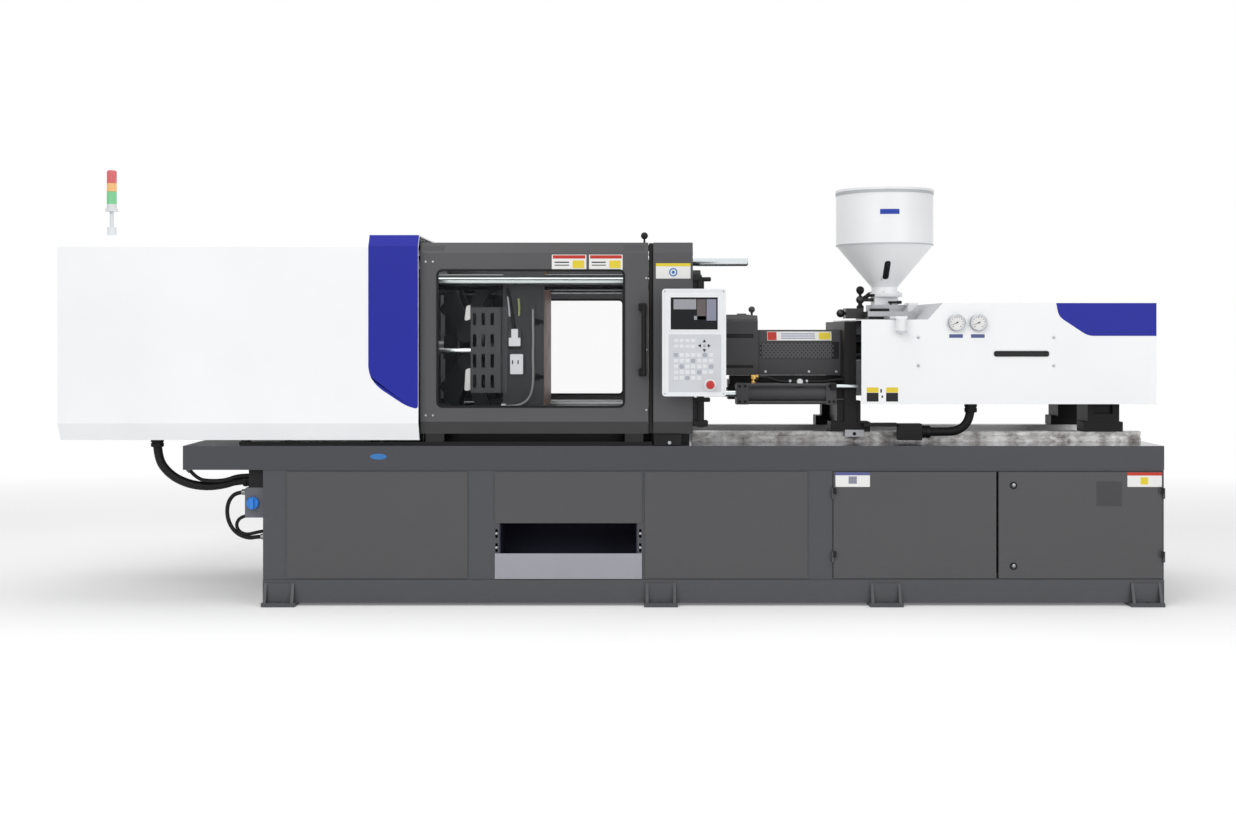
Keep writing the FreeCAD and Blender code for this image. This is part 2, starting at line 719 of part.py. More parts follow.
def tie_bars():
    """Four bars from the rear platen's nuts to the fixed platen's."""
    end = FIXED_FACE + PLATEN_THICK + NUT_LONG + 8
    bars = []
    for y, z in bar_places():
        bar = turned([(0, 0), (BAR_R - 4, 0), (BAR_R, 4), (BAR_R, end - BAR_LEFT - 4),
                      (BAR_R - 4, end - BAR_LEFT), (0, end - BAR_LEFT)], V(BAR_LEFT, y, z), V(1, 0, 0))
        bars.append(bar)
    return group(bars)


def tie_bar_nuts():
    """Round slotted nuts outside the rear and fixed platens."""
    nuts = []
    faces = ((REAR_FACE - PLATEN_THICK - NUT_LONG, 1), (FIXED_FACE + PLATEN_THICK, 1))
    for y, z in bar_places():
        for x, _ in faces:
            nut = turned([(NUT_BORE, 0), (NUT_R, 0), (NUT_R, NUT_LONG), (NUT_BORE, NUT_LONG)],
                         V(x, y, z), V(1, 0, 0))
            slots = [box((x - 1, x + NUT_LONG + 1), (y - 6, y + 6),
                         (z + s * (NUT_R - 7), z + s * (NUT_R + 4))) for s in (-1, 1)]
            nuts.append(cut(nut, slots))
    return group(nuts)


def clamp_cylinder():
    """Cylinder behind the rear platen with its flange, bored for the piston and its rod."""
    start = REAR_FACE - PLATEN_THICK
    long_way = start - CYL_LEFT
    body = turned([(0, 0), (CYL_R + 45, 0), (CYL_R + 45, 40), (CYL_R, 40), (CYL_R, long_way - 60),
                   (CYL_R + 22, long_way - 60), (CYL_R + 22, long_way), (0, long_way)],
                  V(start, 0, AXIS_Z), V(-1, 0, 0))
    chamber = rod_x(PISTON_R + RUN, (CYL_LEFT + CYL_HEAD, start - CYL_HEAD), 0, AXIS_Z)
    gland = rod_x(ROD_R + RUN, (start - CYL_HEAD - 1, start + 1), 0, AXIS_Z)
    return cut(body, [chamber, gland])


def rear_link(place):
    """Rear toggle links of one side of the axis: two plates with their knee and lug stubs."""
    knots = {name: place(point) for name, point in pivot_knots().items()}
    ys = plane(2)
    side = [rod_y(EYE_R - 4, ys, knots["rear"].x, knots["rear"].z),
            rod_y(KNEE_R, ys, knots["knee"].x, knots["knee"].z),
            rod_y(CROSS_EYE, ys, knots["lug"].x, knots["lug"].z),
            bar_between(knots["rear"], knots["knee"], LINK_HALF, ys),
            bar_between(knots["lug"], knots["knee"], 0.7 * CROSS_EYE, ys),
            rod_y(PIN_R, (ys[0], plane(3)[1]), knots["knee"].x, knots["knee"].z),
            rod_y(CROSS_PIN, (plane(1)[0], ys[1]), knots["lug"].x, knots["lug"].z)]
    hole = rod_y(PIN_R + RUN, (ys[0] - 1, ys[1] + 1), knots["rear"].x, knots["rear"].z)
    return group(both(cut(fuse(side), [hole])))


def front_link(place, open_pivot):
    """Front toggle links of one side; the one at the opened pivot has a wider eye there."""
    knots = {name: place(point) for name, point in pivot_knots().items()}
    ys = plane(3)
    side = [rod_y(EYE_R - 4, ys, knots["front"].x, knots["front"].z),
            rod_y(KNEE_R, ys, knots["knee"].x, knots["knee"].z),
            bar_between(knots["knee"], knots["front"], LINK_HALF, ys)]
    slack = SEAT if open_pivot else RUN
    holes = [rod_y(PIN_R + RUN, (ys[0] - 1, ys[1] + 1), knots["knee"].x, knots["knee"].z),
             rod_y(PIN_R + slack, (ys[0] - 1, ys[1] + 1), knots["front"].x, knots["front"].z)]
    return group(both(cut(fuse(side), holes)))


def crosshead_link(place, open_pivot):
    """Short links between the rear links' lugs and the crosshead's stubs."""
    knots = {name: place(point) for name, point in pivot_knots().items()}
    ys = plane(1)
    side = [rod_y(CROSS_EYE, ys, knots["lug"].x, knots["lug"].z),
            rod_y(CROSS_EYE, ys, knots["cross"].x, knots["cross"].z),
            bar_between(knots["lug"], knots["cross"], 0.7 * CROSS_EYE, ys)]
    slack = SEAT if open_pivot else RUN
    holes = [rod_y(CROSS_PIN + RUN, (ys[0] - 1, ys[1] + 1), knots["lug"].x, knots["lug"].z),
             rod_y(CROSS_PIN + slack, (ys[0] - 1, ys[1] + 1), knots["cross"].x, knots["cross"].z)]
    return group(both(cut(fuse(side), holes)))


def crosshead():
    """Crosshead with two tall arms, their pivot stubs, and the piston rod with its piston."""
    top = pivot_knots()["cross"]
    ys = plane(0)
    pieces = [rod_x(ROD_R, (ROD_TAIL, top.x), 0, AXIS_Z),
              rod_x(PISTON_R, (ROD_TAIL, ROD_TAIL + PISTON_LONG), 0, AXIS_Z),
              box((top.x - CROSS_EYE, top.x + CROSS_EYE), (-ys[1], ys[1]), (AXIS_Z - 60, AXIS_Z + 60))]
    for pivot in (top, lower(top)):
        arm = [rod_y(CROSS_EYE, ys, pivot.x, pivot.z),
               box((pivot.x - 0.8 * CROSS_EYE, pivot.x + 0.8 * CROSS_EYE), ys, (pivot.z, AXIS_Z)),
               rod_y(CROSS_PIN, (ys[0], plane(1)[1]), pivot.x, pivot.z)]
        for piece in arm:
            pieces += both(piece)
    return fuse(pieces)


def ejector_plate():
    """Ejector disc behind the moving platen and its rod, which ends level with the mould face."""
    back = MOVING_FACE - MOVING_THICK - EJECT_BACK
    return fuse([rod_x(EJECT_DISC_R, (back - EJECT_DISC, back), 0, AXIS_Z),
                 rod_x(EJECT_R, (back, MOVING_FACE), 0, AXIS_Z)])


def cover_outline(inset):
    """Half section of the clamp cover's sheet, outside (inset 0) or inside (inset as its thickness)."""
    out = COVER_OUT - inset
    shoulder = COVER_OUT - COVER_BEVEL_IN - 0.6 * inset
    return [(0, COVER_TOP - inset), (-shoulder, COVER_TOP - inset), (-out, COVER_BEVEL_HIGH - 0.3 * inset),
            (-out, COVER_BEVEL_LOW + 0.3 * inset), (-shoulder, COVER_BOTTOM + inset)]


def cover_half():
    """Half of the clamp cover: side wall with both bevels, roof, end wall and bottom return."""
    lip = COVER_LIP
    outer = cover_outline(0) + [(-lip, COVER_BOTTOM), (-lip, COVER_BOTTOM + COVER_SHEET)]
    section = outer + list(reversed(cover_outline(COVER_SHEET)))
    sheet = plate_yz(section, (-MACHINE_END, COVER_RIGHT))
    end = plate_yz(cover_outline(0) + [(0, COVER_BOTTOM)], (-MACHINE_END, -MACHINE_END + COVER_SHEET))
    return fuse([sheet, end])


def cover_shell():
    """Front half of the clamp cover with the plate that holds the cable bundle's gland."""
    x, y, _ = MAIN_CORD[0]
    gland = box((x - 45, x + 45), (-COVER_LIP, y + 40), (COVER_BOTTOM, COVER_BOTTOM + COVER_SHEET))
    return fuse([cover_half(), gland])


def gate_outline(front, sheet, back):
    """Folded section of a gate or column cover, with shallow bevels at the top and bottom."""
    low, high = (GATE_BOTTOM, GATE_TOP)
    return [(-front + GATE_FOLD_IN + sheet, high - sheet), (-front + sheet, GATE_FOLD_HIGH),
            (-front + sheet, GATE_FOLD_LOW), (-front + GATE_FOLD_IN + sheet, low + sheet),
            (-back, low + sheet), (-back, high - sheet)]


def gate(window_z):
    """Sliding gate pan with its window opening, foot shoes on the deck track and guides at the top."""
    back = GATE_FRONT - GATE_DEEP
    pan = plate_yz(gate_outline(GATE_FRONT, 0, back), (GATE_LEFT, GATE_RIGHT))
    hollow = plate_yz(gate_outline(GATE_FRONT, GATE_SHEET, back - 1),
                      (GATE_LEFT + GATE_SHEET, GATE_RIGHT - GATE_SHEET))
    hole = rounded_xz(WINDOW_X, window_z, (-GATE_FRONT - 1, -back), WINDOW_R)
    pan = cut(pan, [hollow, hole])
    pieces = [pan]
    track_top = DECK_TOP + TRACK_HIGH + SEAT
    for x in (GATE_LEFT + 70, GATE_RIGHT - 70):
        pieces.append(box((x - 45, x + 45), (-GATE_FRONT + GATE_FOLD_IN, -back),
                          (track_top, GATE_BOTTOM + 2)))
        pieces.append(box((x - 45, x + 45), (-GATE_FRONT + GATE_SHEET - 1, -back + HEAD_TRACK_IN - SEAT),
                          (HEAD_TRACK_Z[0] - 24, HEAD_TRACK_Z[1] - 8)))
    return fuse(pieces)


def gate_window(window_z):
    """Clear pane seated behind the gate's front sheet."""
    xs = (WINDOW_X[0] - PANE_LAP, WINDOW_X[1] + PANE_LAP)
    zs = (window_z[0] - PANE_LAP, window_z[1] + PANE_LAP)
    face = -GATE_FRONT + GATE_SHEET
    return rounded_xz(xs, zs, (face, face + PANE), WINDOW_R)


def gate_handle():
    """Upright handle bar on two feet, and the ball knob that stands on the gate's top."""
    y = -GATE_FRONT - HANDLE_OUT
    bar = rod_z(HANDLE_R, HANDLE_Z, HANDLE_X, y)
    feet = [box((HANDLE_X - 14, HANDLE_X + 10), (y, -GATE_FRONT), (z - 16, z + 16))
            for z in (HANDLE_Z[0] + 22, HANDLE_Z[1] - 22)]
    top_y = -GATE_FRONT + 0.5 * (GATE_FOLD_IN + GATE_DEEP)
    stem = rod_z(STEM_R, (GATE_TOP, KNOB_Z), KNOB_X, top_y)
    ball = Part.makeSphere(KNOB_R, V(KNOB_X, top_y, KNOB_Z))
    return group([fuse([bar] + feet), fuse([stem, ball])])


def gate_rails():
    """Deck track and head track of the front and rear gates, with the head tracks' brackets."""
    mid = GATE_FRONT - 0.5 * (GATE_DEEP - GATE_FOLD_IN) - GATE_FOLD_IN
    deck = box((TRACK_LEFT, TRACK_RIGHT), (-mid - 0.5 * TRACK_WIDE, -mid + 0.5 * TRACK_WIDE),
               (DECK_TOP, DECK_TOP + TRACK_HIGH))
    front = -GATE_FRONT + GATE_DEEP + HEAD_TRACK_IN
    head = [box((TRACK_LEFT, COLUMN_X[0]), (front, front + TRACK_WIDE), HEAD_TRACK_Z)]
    for x in POST_X:
        head.append(box((x - POST_HALF, x + POST_HALF), (front + TRACK_WIDE, -POST_Y - POST_HALF),
                        HEAD_TRACK_Z))
    return group(both(deck) + both(fuse(head)))


def column_cover():
    """Folded cover beside the fixed platen, open towards it."""
    outline = gate_outline(BED_HALF, 0, PLATEN_HALF)
    body = plate_yz(outline, COLUMN_X)
    hollow = plate_yz(gate_outline(BED_HALF, COLUMN_SHEET, PLATEN_HALF - 1),
                      (COLUMN_X[0] + COLUMN_SHEET, COLUMN_X[1] - COLUMN_SHEET))
    return cut(body, [hollow])


def panel_post():
    """Upright tube in front of the column, on a bracket at each end."""
    tube = rod_z(POLE_R, POLE_Z, POLE_X, POLE_Y)
    arms = [box((COLUMN_X[1], POLE_X), (POLE_Y + 3, POLE_Y + 27), (z - 15, z + 15))
            for z in (POLE_Z[0] + 27, POLE_Z[1] - 18)]
    return fuse([tube] + arms)


def control_panel():
    """Swinging control housing with its two collars and the seat of the stop button."""
    ys = (-PANEL_FRONT, -PANEL_FRONT + PANEL_DEEP)
    body = rounded_xz(PANEL_X, PANEL_Z, ys, 14)
    middle = 0.5 * (PANEL_Z[0] + PANEL_Z[1])
    pieces = [body]
    for z in (middle - 90, middle + 90):
        pieces.append(rod_z(POLE_R + 12, (z - 25, z + 25), POLE_X, POLE_Y))
        pieces.append(box((POLE_X - 20, POLE_X + 20), (ys[1] - 1, POLE_Y), (z - 25, z + 25)))
    holes = [rod_z(POLE_R + RUN, (middle - 120, middle + 120), POLE_X, POLE_Y),
             rod_y(STOP_STEM + RUN, (ys[0] - 1, ys[0] + 24), STOP_X, STOP_Z)]
    return cut(fuse(pieces), holes)


def emergency_button():
    """Mushroom button: stem, undercut neck and domed head, turned about its travel."""
    deep = STOP_OUT + 12
    return turned([(0, 0), (STOP_STEM, 0), (STOP_STEM, deep - 20), (STOP_R, deep - 16),
                   (STOP_R - 3, deep - 3), (0, deep)],
                  V(STOP_X, -PANEL_FRONT + 12, STOP_Z), V(0, -1, 0))


def beacon_pole():
    """Foot, pole, flange and lamp body of the stack light."""
    x, y = LIGHT_X, LIGHT_Y
    low = LIGHT_LENSES[0][0]
    return fuse([box((x - 36, x + 36), (y - 30, y + 30), (COVER_TOP, COVER_TOP + 8)),
                 rod_z(22, (COVER_TOP, COVER_TOP + 48), x, y),
                 rod_z(LIGHT_POLE_R, (COVER_TOP, LIGHT_CAP), x, y),
                 rod_z(LIGHT_FLANGE_R, (LIGHT_CAP - 13, LIGHT_CAP), x, y),
                 rod_z(LIGHT_R, (LIGHT_CAP, low), x, y)])


def beacon_lenses():
    """Green, amber and red lenses from the bottom up; the red one has a rounded top edge."""
    lenses = []
    for low, high in LIGHT_LENSES:
        crown = 6 if high == LIGHT_LENSES[-1][1] else 1.5
        lenses.append(turned([(0, 0), (LIGHT_R, 0), (LIGHT_R, high - low - crown),
                              (LIGHT_R - crown, high - low), (0, high - low)],
                             V(LIGHT_X, LIGHT_Y, low), V(0, 0, 1)))
    return group(lenses)


def junction_box():
    """Box on the base's left end with a socket block over it."""
    case = rounded_xz(BOX_X, BOX_Z, BOX_Y, 8)
    hole = rod_y(8 + RUN, (BOX_Y[0] - 1, BOX_Y[0] + 30), KNOB_AXIS[0], KNOB_AXIS[1])
    block = box((SOCKETS_LEFT, BOX_X[1]), BOX_Y, SOCKETS_Z)
    return group([cut(case, [hole]), block])


def selector_knob():
    """Round knob with a raised grip on a stub shaft."""
    x, z = KNOB_AXIS
    y = BOX_Y[0]
    disc = turned([(0, 0), (SELECTOR_R, 0), (SELECTOR_R, 12), (SELECTOR_R - 4, 18), (0, 18)],
                  V(x, y - SEAT, z), V(0, -1, 0))
    grip = rounded_xz((x - 9, x + 9), (z - SELECTOR_R + 5, z + SELECTOR_R - 5), (y - SELECTOR_OUT, y - 10), 6)
    return fuse([disc, grip, rod_y(8, (y - 5, y + 28), x, z)])


def ejector_guard():
    """Folded guard beside the platen's rear edge: four columns of upright slots and a mounting flange."""
    front = (-GUARD_OUT, -GUARD_OUT + GUARD_SHEET)
    pan = box(GUARD_X, (-GUARD_OUT, -PLATEN_HALF), GUARD_Z)
    hollow = box((GUARD_X[0] + GUARD_SHEET, GUARD_X[1] - GUARD_SHEET), (front[1], -PLATEN_HALF + 1),
                 (GUARD_Z[0] + GUARD_SHEET, GUARD_Z[1] - GUARD_SHEET))
    slots = [box((x - 0.5 * GUARD_SLOT, x + 0.5 * GUARD_SLOT), (front[0] - 1, front[1] + 1), row)
             for x in GUARD_COLUMNS for row in GUARD_ROWS]
    flange = box((GUARD_X[1] - GUARD_SHEET, GUARD_X[1] + 32), (-PLATEN_HALF - GUARD_SHEET, -PLATEN_HALF),
                 GUARD_Z)
    return fuse([cut(pan, [hollow] + slots), flange])


def platen_socket():
    """Socket box, plug and the two glands of the platen's cable, all on the platen's front side."""
    y = -PLATEN_HALF
    socket = rounded_xz(SOCKET_X, SOCKET_Z, (y - SOCKET_OUT, y), 5)
    plug = rounded_xz(PLUG_X, PLUG_Z, (y - 0.8 * SOCKET_OUT, y), 8)
    glands = []
    for end, sign in ((PLATEN_CORD[0], 1), (PLATEN_CORD[-1], -1)):
        x, _, z = end
        if sign > 0:
            glands.append(box((x - 11, x + 11), (y - 16, y), (z, z + 22)))
        else:
            glands.append(box((x - 22, x), (y - 16, y), (z - 11, z + 11)))
    return group([socket, plug] + glands)


def platen_rods():
    """Mechanical safety rod on its ear, and the position rod behind the moving platen."""
    top = AXIS_Z + PLATEN_HALF
    ear = box((SAFE_LEFT, SAFE_LEFT + 70), (SAFE_Y - 34, SAFE_Y + 34), (top, SAFE_Z + 38))
    rod = turned([(0, 0), (SAFE_R, 0), (SAFE_R, SAFE_END - SAFE_LEFT - 4), (SAFE_R - 4, SAFE_END - SAFE_LEFT),
                  (0, SAFE_END - SAFE_LEFT)], V(SAFE_LEFT, SAFE_Y, SAFE_Z), V(1, 0, 0))
    scale = rod_x(SCALE_R, (SCALE_LEFT, MOVING_FACE - MOVING_THICK), SCALE_Y, SCALE_Z)
    return group([fuse([ear, rod]), scale])


def safety_guide():
    """Bored guide for the safety rod on top of the fixed platen."""
    top = AXIS_Z + PLATEN_HALF
    far = FIXED_FACE + PLATEN_THICK
    block = box((far - 90, far - 20), (SAFE_Y - 44, SAFE_Y + 44), (top - 1, SAFE_Z + 44))
    return block, rod_x(SAFE_R + RUN, (far - 91, far - 19), SAFE_Y, SAFE_Z)


def purge_hinge():
    """Place in Y and Z of the purge guard's hinge line."""
    return V(0, PURGE_HALF + PURGE_HINGE_R + 8, PURGE_Z[1])


def purge_guard():
    """Front wall and roof round the nozzle, with two hinge knuckles, two slots and a ball knob."""
    half = PURGE_HALF
    low, high = PURGE_Z
    w = GUARD_WALL
    section = [(-half, low), (-half, high - 30), (-half + 30, high), (half, high), (half, high - w),
               (-half + 30 + 0.4 * w, high - w), (-half + w, high - 30 - 0.4 * w), (-half + w, low)]
    body = [plate_yz(section, PURGE_X)]
    hinge = purge_hinge()
    knuckles = ((PURGE_X[0] + 20, PURGE_X[0] + 70), (PURGE_X[1] - 70, PURGE_X[1] - 20))
    for xs in knuckles:
        body.append(rod_x(PURGE_HINGE_R + 6, xs, hinge.y, hinge.z))
        body.append(box(xs, (half - 4, hinge.y), (high - w, high + w)))
    knob_x = PURGE_X[1] - 26
    body.append(rod_z(6, (high - w, high + 24), knob_x, -half + 60))
    body.append(Part.makeSphere(PURGE_KNOB_R, V(knob_x, -half + 60, high + 30)))
    slots = [box((PURGE_X[0] + 40, PURGE_X[1] - 24), (-half - 1, -half + w + 1), zs)
             for zs in ((1151, 1167), (1306, 1327))]
    bores = [rod_x(PURGE_HINGE_R + RUN, (xs[0] - 1, xs[1] + 1), hinge.y, hinge.z) for xs in knuckles]
    return cut(fuse(body), slots + bores)


def carriage_rails():
    """Two ground rails on the deck that carry the injection carriage."""
    rail = box(RAIL_X, (-RAIL_Y - RAIL_HALF, -RAIL_Y + RAIL_HALF), (DECK_TOP, RAIL_HIGH))
    neck = [box((RAIL_X[0] - 1, RAIL_X[1] + 1), (-RAIL_Y + s * RAIL_HALF - 8, -RAIL_Y + s * RAIL_HALF + 8),
                (DECK_TOP + 16, RAIL_HIGH - 18)) for s in (-1, 1)]
    return group(both(cut(rail, neck)))


def shoes(middle):
    """Two carriage shoes a hair above the rails."""
    return [box((middle - 0.5 * SHOE_LONG, middle + 0.5 * SHOE_LONG),
                (side * (RAIL_Y - SHOE_HALF), side * (RAIL_Y + SHOE_HALF)),
                (RAIL_HIGH + SHOE_GAP, SHOE_TOP)) for side in (-1, 1)]


def front_support():
    """Front plate of the carriage with its shoes, guide bars, cylinder lugs, cover ledge and hose block."""
    body = [box(FRONT_X, (-FRONT_HALF, FRONT_HALF), FRONT_Z)]
    middle = 0.5 * (FRONT_X[0] + FRONT_X[1])
    body += shoes(middle)
    for side in (-1, 1):
        body.append(box((middle - 65, middle + 55), (side * (RAIL_Y - 40), side * (RAIL_Y + 40)),
                        (SHOE_TOP - 1, CYLINDER_Z - 36)))
        body.append(box((CYLINDER_CAP[1], FRONT_X[0]), (side * CYLINDER_Y - 14, side * CYLINDER_Y + 14),
                        (CYLINDER_Z - 26, CYLINDER_Z + 26)))
        body.append(rod_x(GUIDE_R, (FRONT_X[1], BACK_X[0]), side * GUIDE_Y, AXIS_Z))
    body.append(box((FRONT_X[1], FRONT_X[1] + 34), (-FRONT_HALF, FRONT_HALF),
                    (COVER_NOTCH - INJECT_SHEET - 20, COVER_NOTCH - INJECT_SHEET)))
    block_x = (HOSE[-1][0] - 116, HOSE[-1][0])
    y = HOSE[-1][1]
    z = HOSE[-1][2]
    body.append(box(block_x, (y - 34, y + 34), (z - 41, z + 41)))
    body.append(box((middle + 0.5 * SHOE_LONG - 1, block_x[0] + 1), (y - 10, -RAIL_Y - SHOE_HALF + 12),
                    (SHOE_TOP - 20, SHOE_TOP - 4)))
    body.append(box((middle + 0.5 * SHOE_LONG - 40, middle + 0.5 * SHOE_LONG),
                    (y - 10, -RAIL_Y - SHOE_HALF + 12), (SHOE_TOP - 20, SHOE_TOP - 4)))
    return cut(fuse(body), [rod_x(BARREL_R + RUN, (FRONT_X[0] - 1, FRONT_X[1] + 1), 0, AXIS_Z)])


def rear_support():
    """Rear portal of the carriage: two legs on shoes and a bridge under the cover's roof."""
    top = COVER_HIGH - INJECT_SHEET
    body = box(BACK_X, (-BACK_HALF, BACK_HALF), (SHOE_TOP - 1, top))
    window = box((BACK_X[0] - 1, BACK_X[1] + 1), (-GUIDE_Y + 46, GUIDE_Y - 46), (SHOE_TOP - 2, top - 120))
    legs = fuse([body] + shoes(0.5 * (BACK_X[0] + BACK_X[1])))
    relief = [box((BACK_X[0] + 34, BACK_X[1] - 34), (side * (BACK_HALF - 22), side * (BACK_HALF + 1)),
                  (SHOE_TOP + 40, top - 80)) for side in (-1, 1)]
    return cut(legs, [window] + relief)


def barrel():
    """Plasticising barrel with its nozzle, bored for the screw, with the feed hole on top."""
    end = BARREL_RIGHT - NOZZLE_TIP
    step = BARREL_LEFT - NOZZLE_TIP
    body = turned([(0, 0), (NOZZLE_TIP_R, 0), (NOZZLE_TIP_R + 6, 30), (NOZZLE_R, 60), (NOZZLE_R, step - 30),
                   (NOZZLE_R + 16, step - 30), (NOZZLE_R + 16, step), (BARREL_R, step), (BARREL_R, end),
                   (0, end)], V(NOZZLE_TIP, 0, AXIS_Z), V(1, 0, 0))
    holes = [rod_x(BARREL_BORE + RUN, (BARREL_LEFT - 20, BARREL_RIGHT + 1), 0, AXIS_Z),
             rod_x(NOZZLE_BORE, (NOZZLE_TIP - 1, BARREL_LEFT), 0, AXIS_Z),
             rod_z(THROAT_BORE, (AXIS_Z, AXIS_Z + BARREL_R + 1), THROAT_X, 0)]
    return cut(body, holes)


def heater_bands():
    """Split heater bands round the barrel, each with its terminal cap."""
    bands = []
    for number in range(BAND_COUNT):
        x = BAND_START + number * BAND_STEP
        ring = rod_x(BAND_R, (x, x + BAND_LONG), 0, AXIS_Z)
        cap = box((x + 24, x + BAND_LONG - 24), (-26, 26), (AXIS_Z + BARREL_R + 2, AXIS_Z + BAND_R + 6))
        bore = rod_x(BARREL_R + RUN, (x - 1, x + BAND_LONG + 1), 0, AXIS_Z)
        bands.append(cut(fuse([ring, cap]), [bore]))
    return group(bands)


def barrel_guard():
    """Inverted trough over the heater bands, slotted along both sides."""
    half = BARREL_GUARD_HALF
    low, high = BARREL_GUARD_Z
    w = GUARD_WALL
    xs = (BARREL_GUARD_X[0], FRONT_X[0])
    outside = [(half, low), (half, high - 60), (half - 16, high), (-half + 16, high), (-half, high - 60),
               (-half, low)]
    inside = [(-half + w, low), (-half + w, high - 60), (-half + 16 + w, high - w),
              (half - 16 - w, high - w), (half - w, high - 60), (half - w, low)]
    body = plate_yz(outside + inside, xs)
    step = (xs[1] - xs[0] - 40) / PERF_COLUMNS
    slots = []
    for column in range(PERF_COLUMNS):
        x = xs[0] + 20 + step * column
        for row in range(PERF_ROWS):
            z = high - 146 + 28 * row
            for side in (-1, 1):
                slots.append(box((x + 4, x + step - 4), (side * (half - w - 1), side * (half + 1)),
                                 (z, z + 12)))
    return cut(body, slots)


def carriage_cylinders():
    """Two cylinders that pull the carriage along: tube, square heads, bore and gland."""
    tube = rod_x(CYLINDER_R, CYLINDER_X, -CYLINDER_Y, CYLINDER_Z)
    heads = [box(xs, (-CYLINDER_Y - CYLINDER_CAP_HALF, -CYLINDER_Y + CYLINDER_CAP_HALF),
                 (CYLINDER_Z - CYLINDER_CAP_HALF, CYLINDER_Z + CYLINDER_CAP_HALF))
             for xs in ((CYLINDER_CAP[0], CYLINDER_X[0]), (CYLINDER_X[1], CYLINDER_CAP[1]))]
    rods = [rod_x(9, (CYLINDER_X[0], CYLINDER_X[1]), -CYLINDER_Y + dy, CYLINDER_Z + dz)
            for dy in (-44, 44) for dz in (-44, 44)]
    bore = rod_x(CYLINDER_BORE + RUN, (CYLINDER_CAP[0] + 12, CYLINDER_X[1] - 17), -CYLINDER_Y, CYLINDER_Z)
    gland = rod_x(CYLINDER_ROD_R + RUN, (CYLINDER_CAP[0] - 1, CYLINDER_CAP[0] + 13), -CYLINDER_Y, CYLINDER_Z)
    return group(both(cut(fuse([tube] + heads + rods), [bore, gland])))


def cylinder_rods():
    """Rods and pistons of the carriage cylinders, held by a foot on the fixed platen."""
    far = FIXED_FACE + PLATEN_THICK
    rod = fuse([rod_x(CYLINDER_ROD_R, (far, CYLINDER_ROD_END), -CYLINDER_Y, CYLINDER_Z),
                rod_x(CYLINDER_BORE, (CYLINDER_ROD_END - CYLINDER_PISTON, CYLINDER_ROD_END),
                      -CYLINDER_Y, CYLINDER_Z),
                rod_x(34, (far, far + 26), -CYLINDER_Y, CYLINDER_Z)])
    return group(both(rod))


def injection_cover():
    """Sheet cover over the drive with a step beside the hopper, open below and towards the barrel."""
    left, s = COVER_X, INJECT_SHEET
    step = COVER_STEP_X
    outer = [(left, COVER_LOW), (MACHINE_END, COVER_LOW), (MACHINE_END, COVER_HIGH), (step[1], COVER_HIGH),
             (step[0], COVER_NOTCH), (left, COVER_NOTCH)]
    inner = [(left - 1, COVER_LOW - 1), (MACHINE_END - s, COVER_LOW - 1), (MACHINE_END - s, COVER_HIGH - s),
             (step[1] + 0.5 * s, COVER_HIGH - s), (step[0] + 0.5 * s, COVER_NOTCH - s),
             (left - 1, COVER_NOTCH - s)]
    half = INJECT_HALF
    body = plate_xz(outer, (-half, half))
    throat = THROAT_HALF + 4
    grip_x = (1895, 2158)
    cuts = [plate_xz(inner, (-half + s, half - s)),
            box((THROAT_X - throat, THROAT_X + throat), (-throat, throat),
                (COVER_NOTCH - s - 1, COVER_NOTCH + 1)),
            box(grip_x, (-half - 1, -half + s + 1), (1220, 1238))]
    gland = box((HOSE[0][0] - 46, HOSE[0][0] + 46), (-half + s - 1, HOSE[0][1] + 40),
                (COVER_LOW, COVER_LOW + s))
    return fuse([cut(body, cuts), gland])


def pressure_gauges():
    """Two dial gauges on the cover's front, each with a raised bezel."""
    gauges = []
    for x in GAUGE_X:
        gauges.append(turned([(0, 0), (GAUGE_R, 0), (GAUGE_R, GAUGE_OUT - 3), (GAUGE_R - 3, GAUGE_OUT),
                              (GAUGE_R - 7, GAUGE_OUT), (GAUGE_R - 7, GAUGE_OUT - 6), (0, GAUGE_OUT - 6)],
                             V(x, -INJECT_HALF, GAUGE_Z), V(0, -1, 0)))
    return group(gauges)


def hopper_base():
    """Feed throat saddled on the barrel, base plates, drain spout, wing plate and two lever knobs."""
    t = THROAT_HALF
    low = COVER_NOTCH + 4
    front = -INJECT_HALF - DRAIN_R - 6
    ball, knob = THROAT_X - 133, BASE_PLATE_X[0] - 115
    wing_x = BASE_PLATE_X[1]
    pieces = [box((THROAT_X - t, THROAT_X + t), (-t, t), (AXIS_Z, BASE_TOP)),
              box(BASE_PLATE_X, (-190, 190), (low, low + 40)),
              box((THROAT_X - 81, THROAT_X + 87), (-100, 100), (low + 39, low + 76)),
              box((BASE_PLATE_X[0] - 91, BASE_PLATE_X[0] + 1), (-60, 60), (low + 5, low + 58)),
              rod_z(HOPPER_FLANGE_R, (BASE_TOP - 14, BASE_TOP), THROAT_X, 0),
              rod_x(9, (ball, THROAT_X - t + 1), -30, BASE_TOP - 30),
              Part.makeSphere(LEVER_BALL, V(ball, -30, BASE_TOP - 30)),
              rod_x(7, (knob, BASE_PLATE_X[0] - 89), -20, low + 32),
              Part.makeSphere(LEVER_BALL, V(knob, -20, low + 32)),
              box((DRAIN_X - 30, DRAIN_X + 30), (front, -189), (low, low + 12)),
              rod_z(DRAIN_R, (DRAIN_LOW, low + 1), DRAIN_X, front)]
    wing = plate_xz([(wing_x - 56, low + 39), (wing_x - 20, low + 39), (wing_x + 24, low + 84),
                     (wing_x - 26, low + 84)], (-185, -60))
    body = fuse(pieces + [wing])
    return cut(body, [rod_z(THROAT_BORE, (AXIS_Z - 1, BASE_TOP + 1), THROAT_X, 0),
                      rod_x(BARREL_R + RUN, (THROAT_X - t - 1, THROAT_X + t + 1), 0, AXIS_Z)])


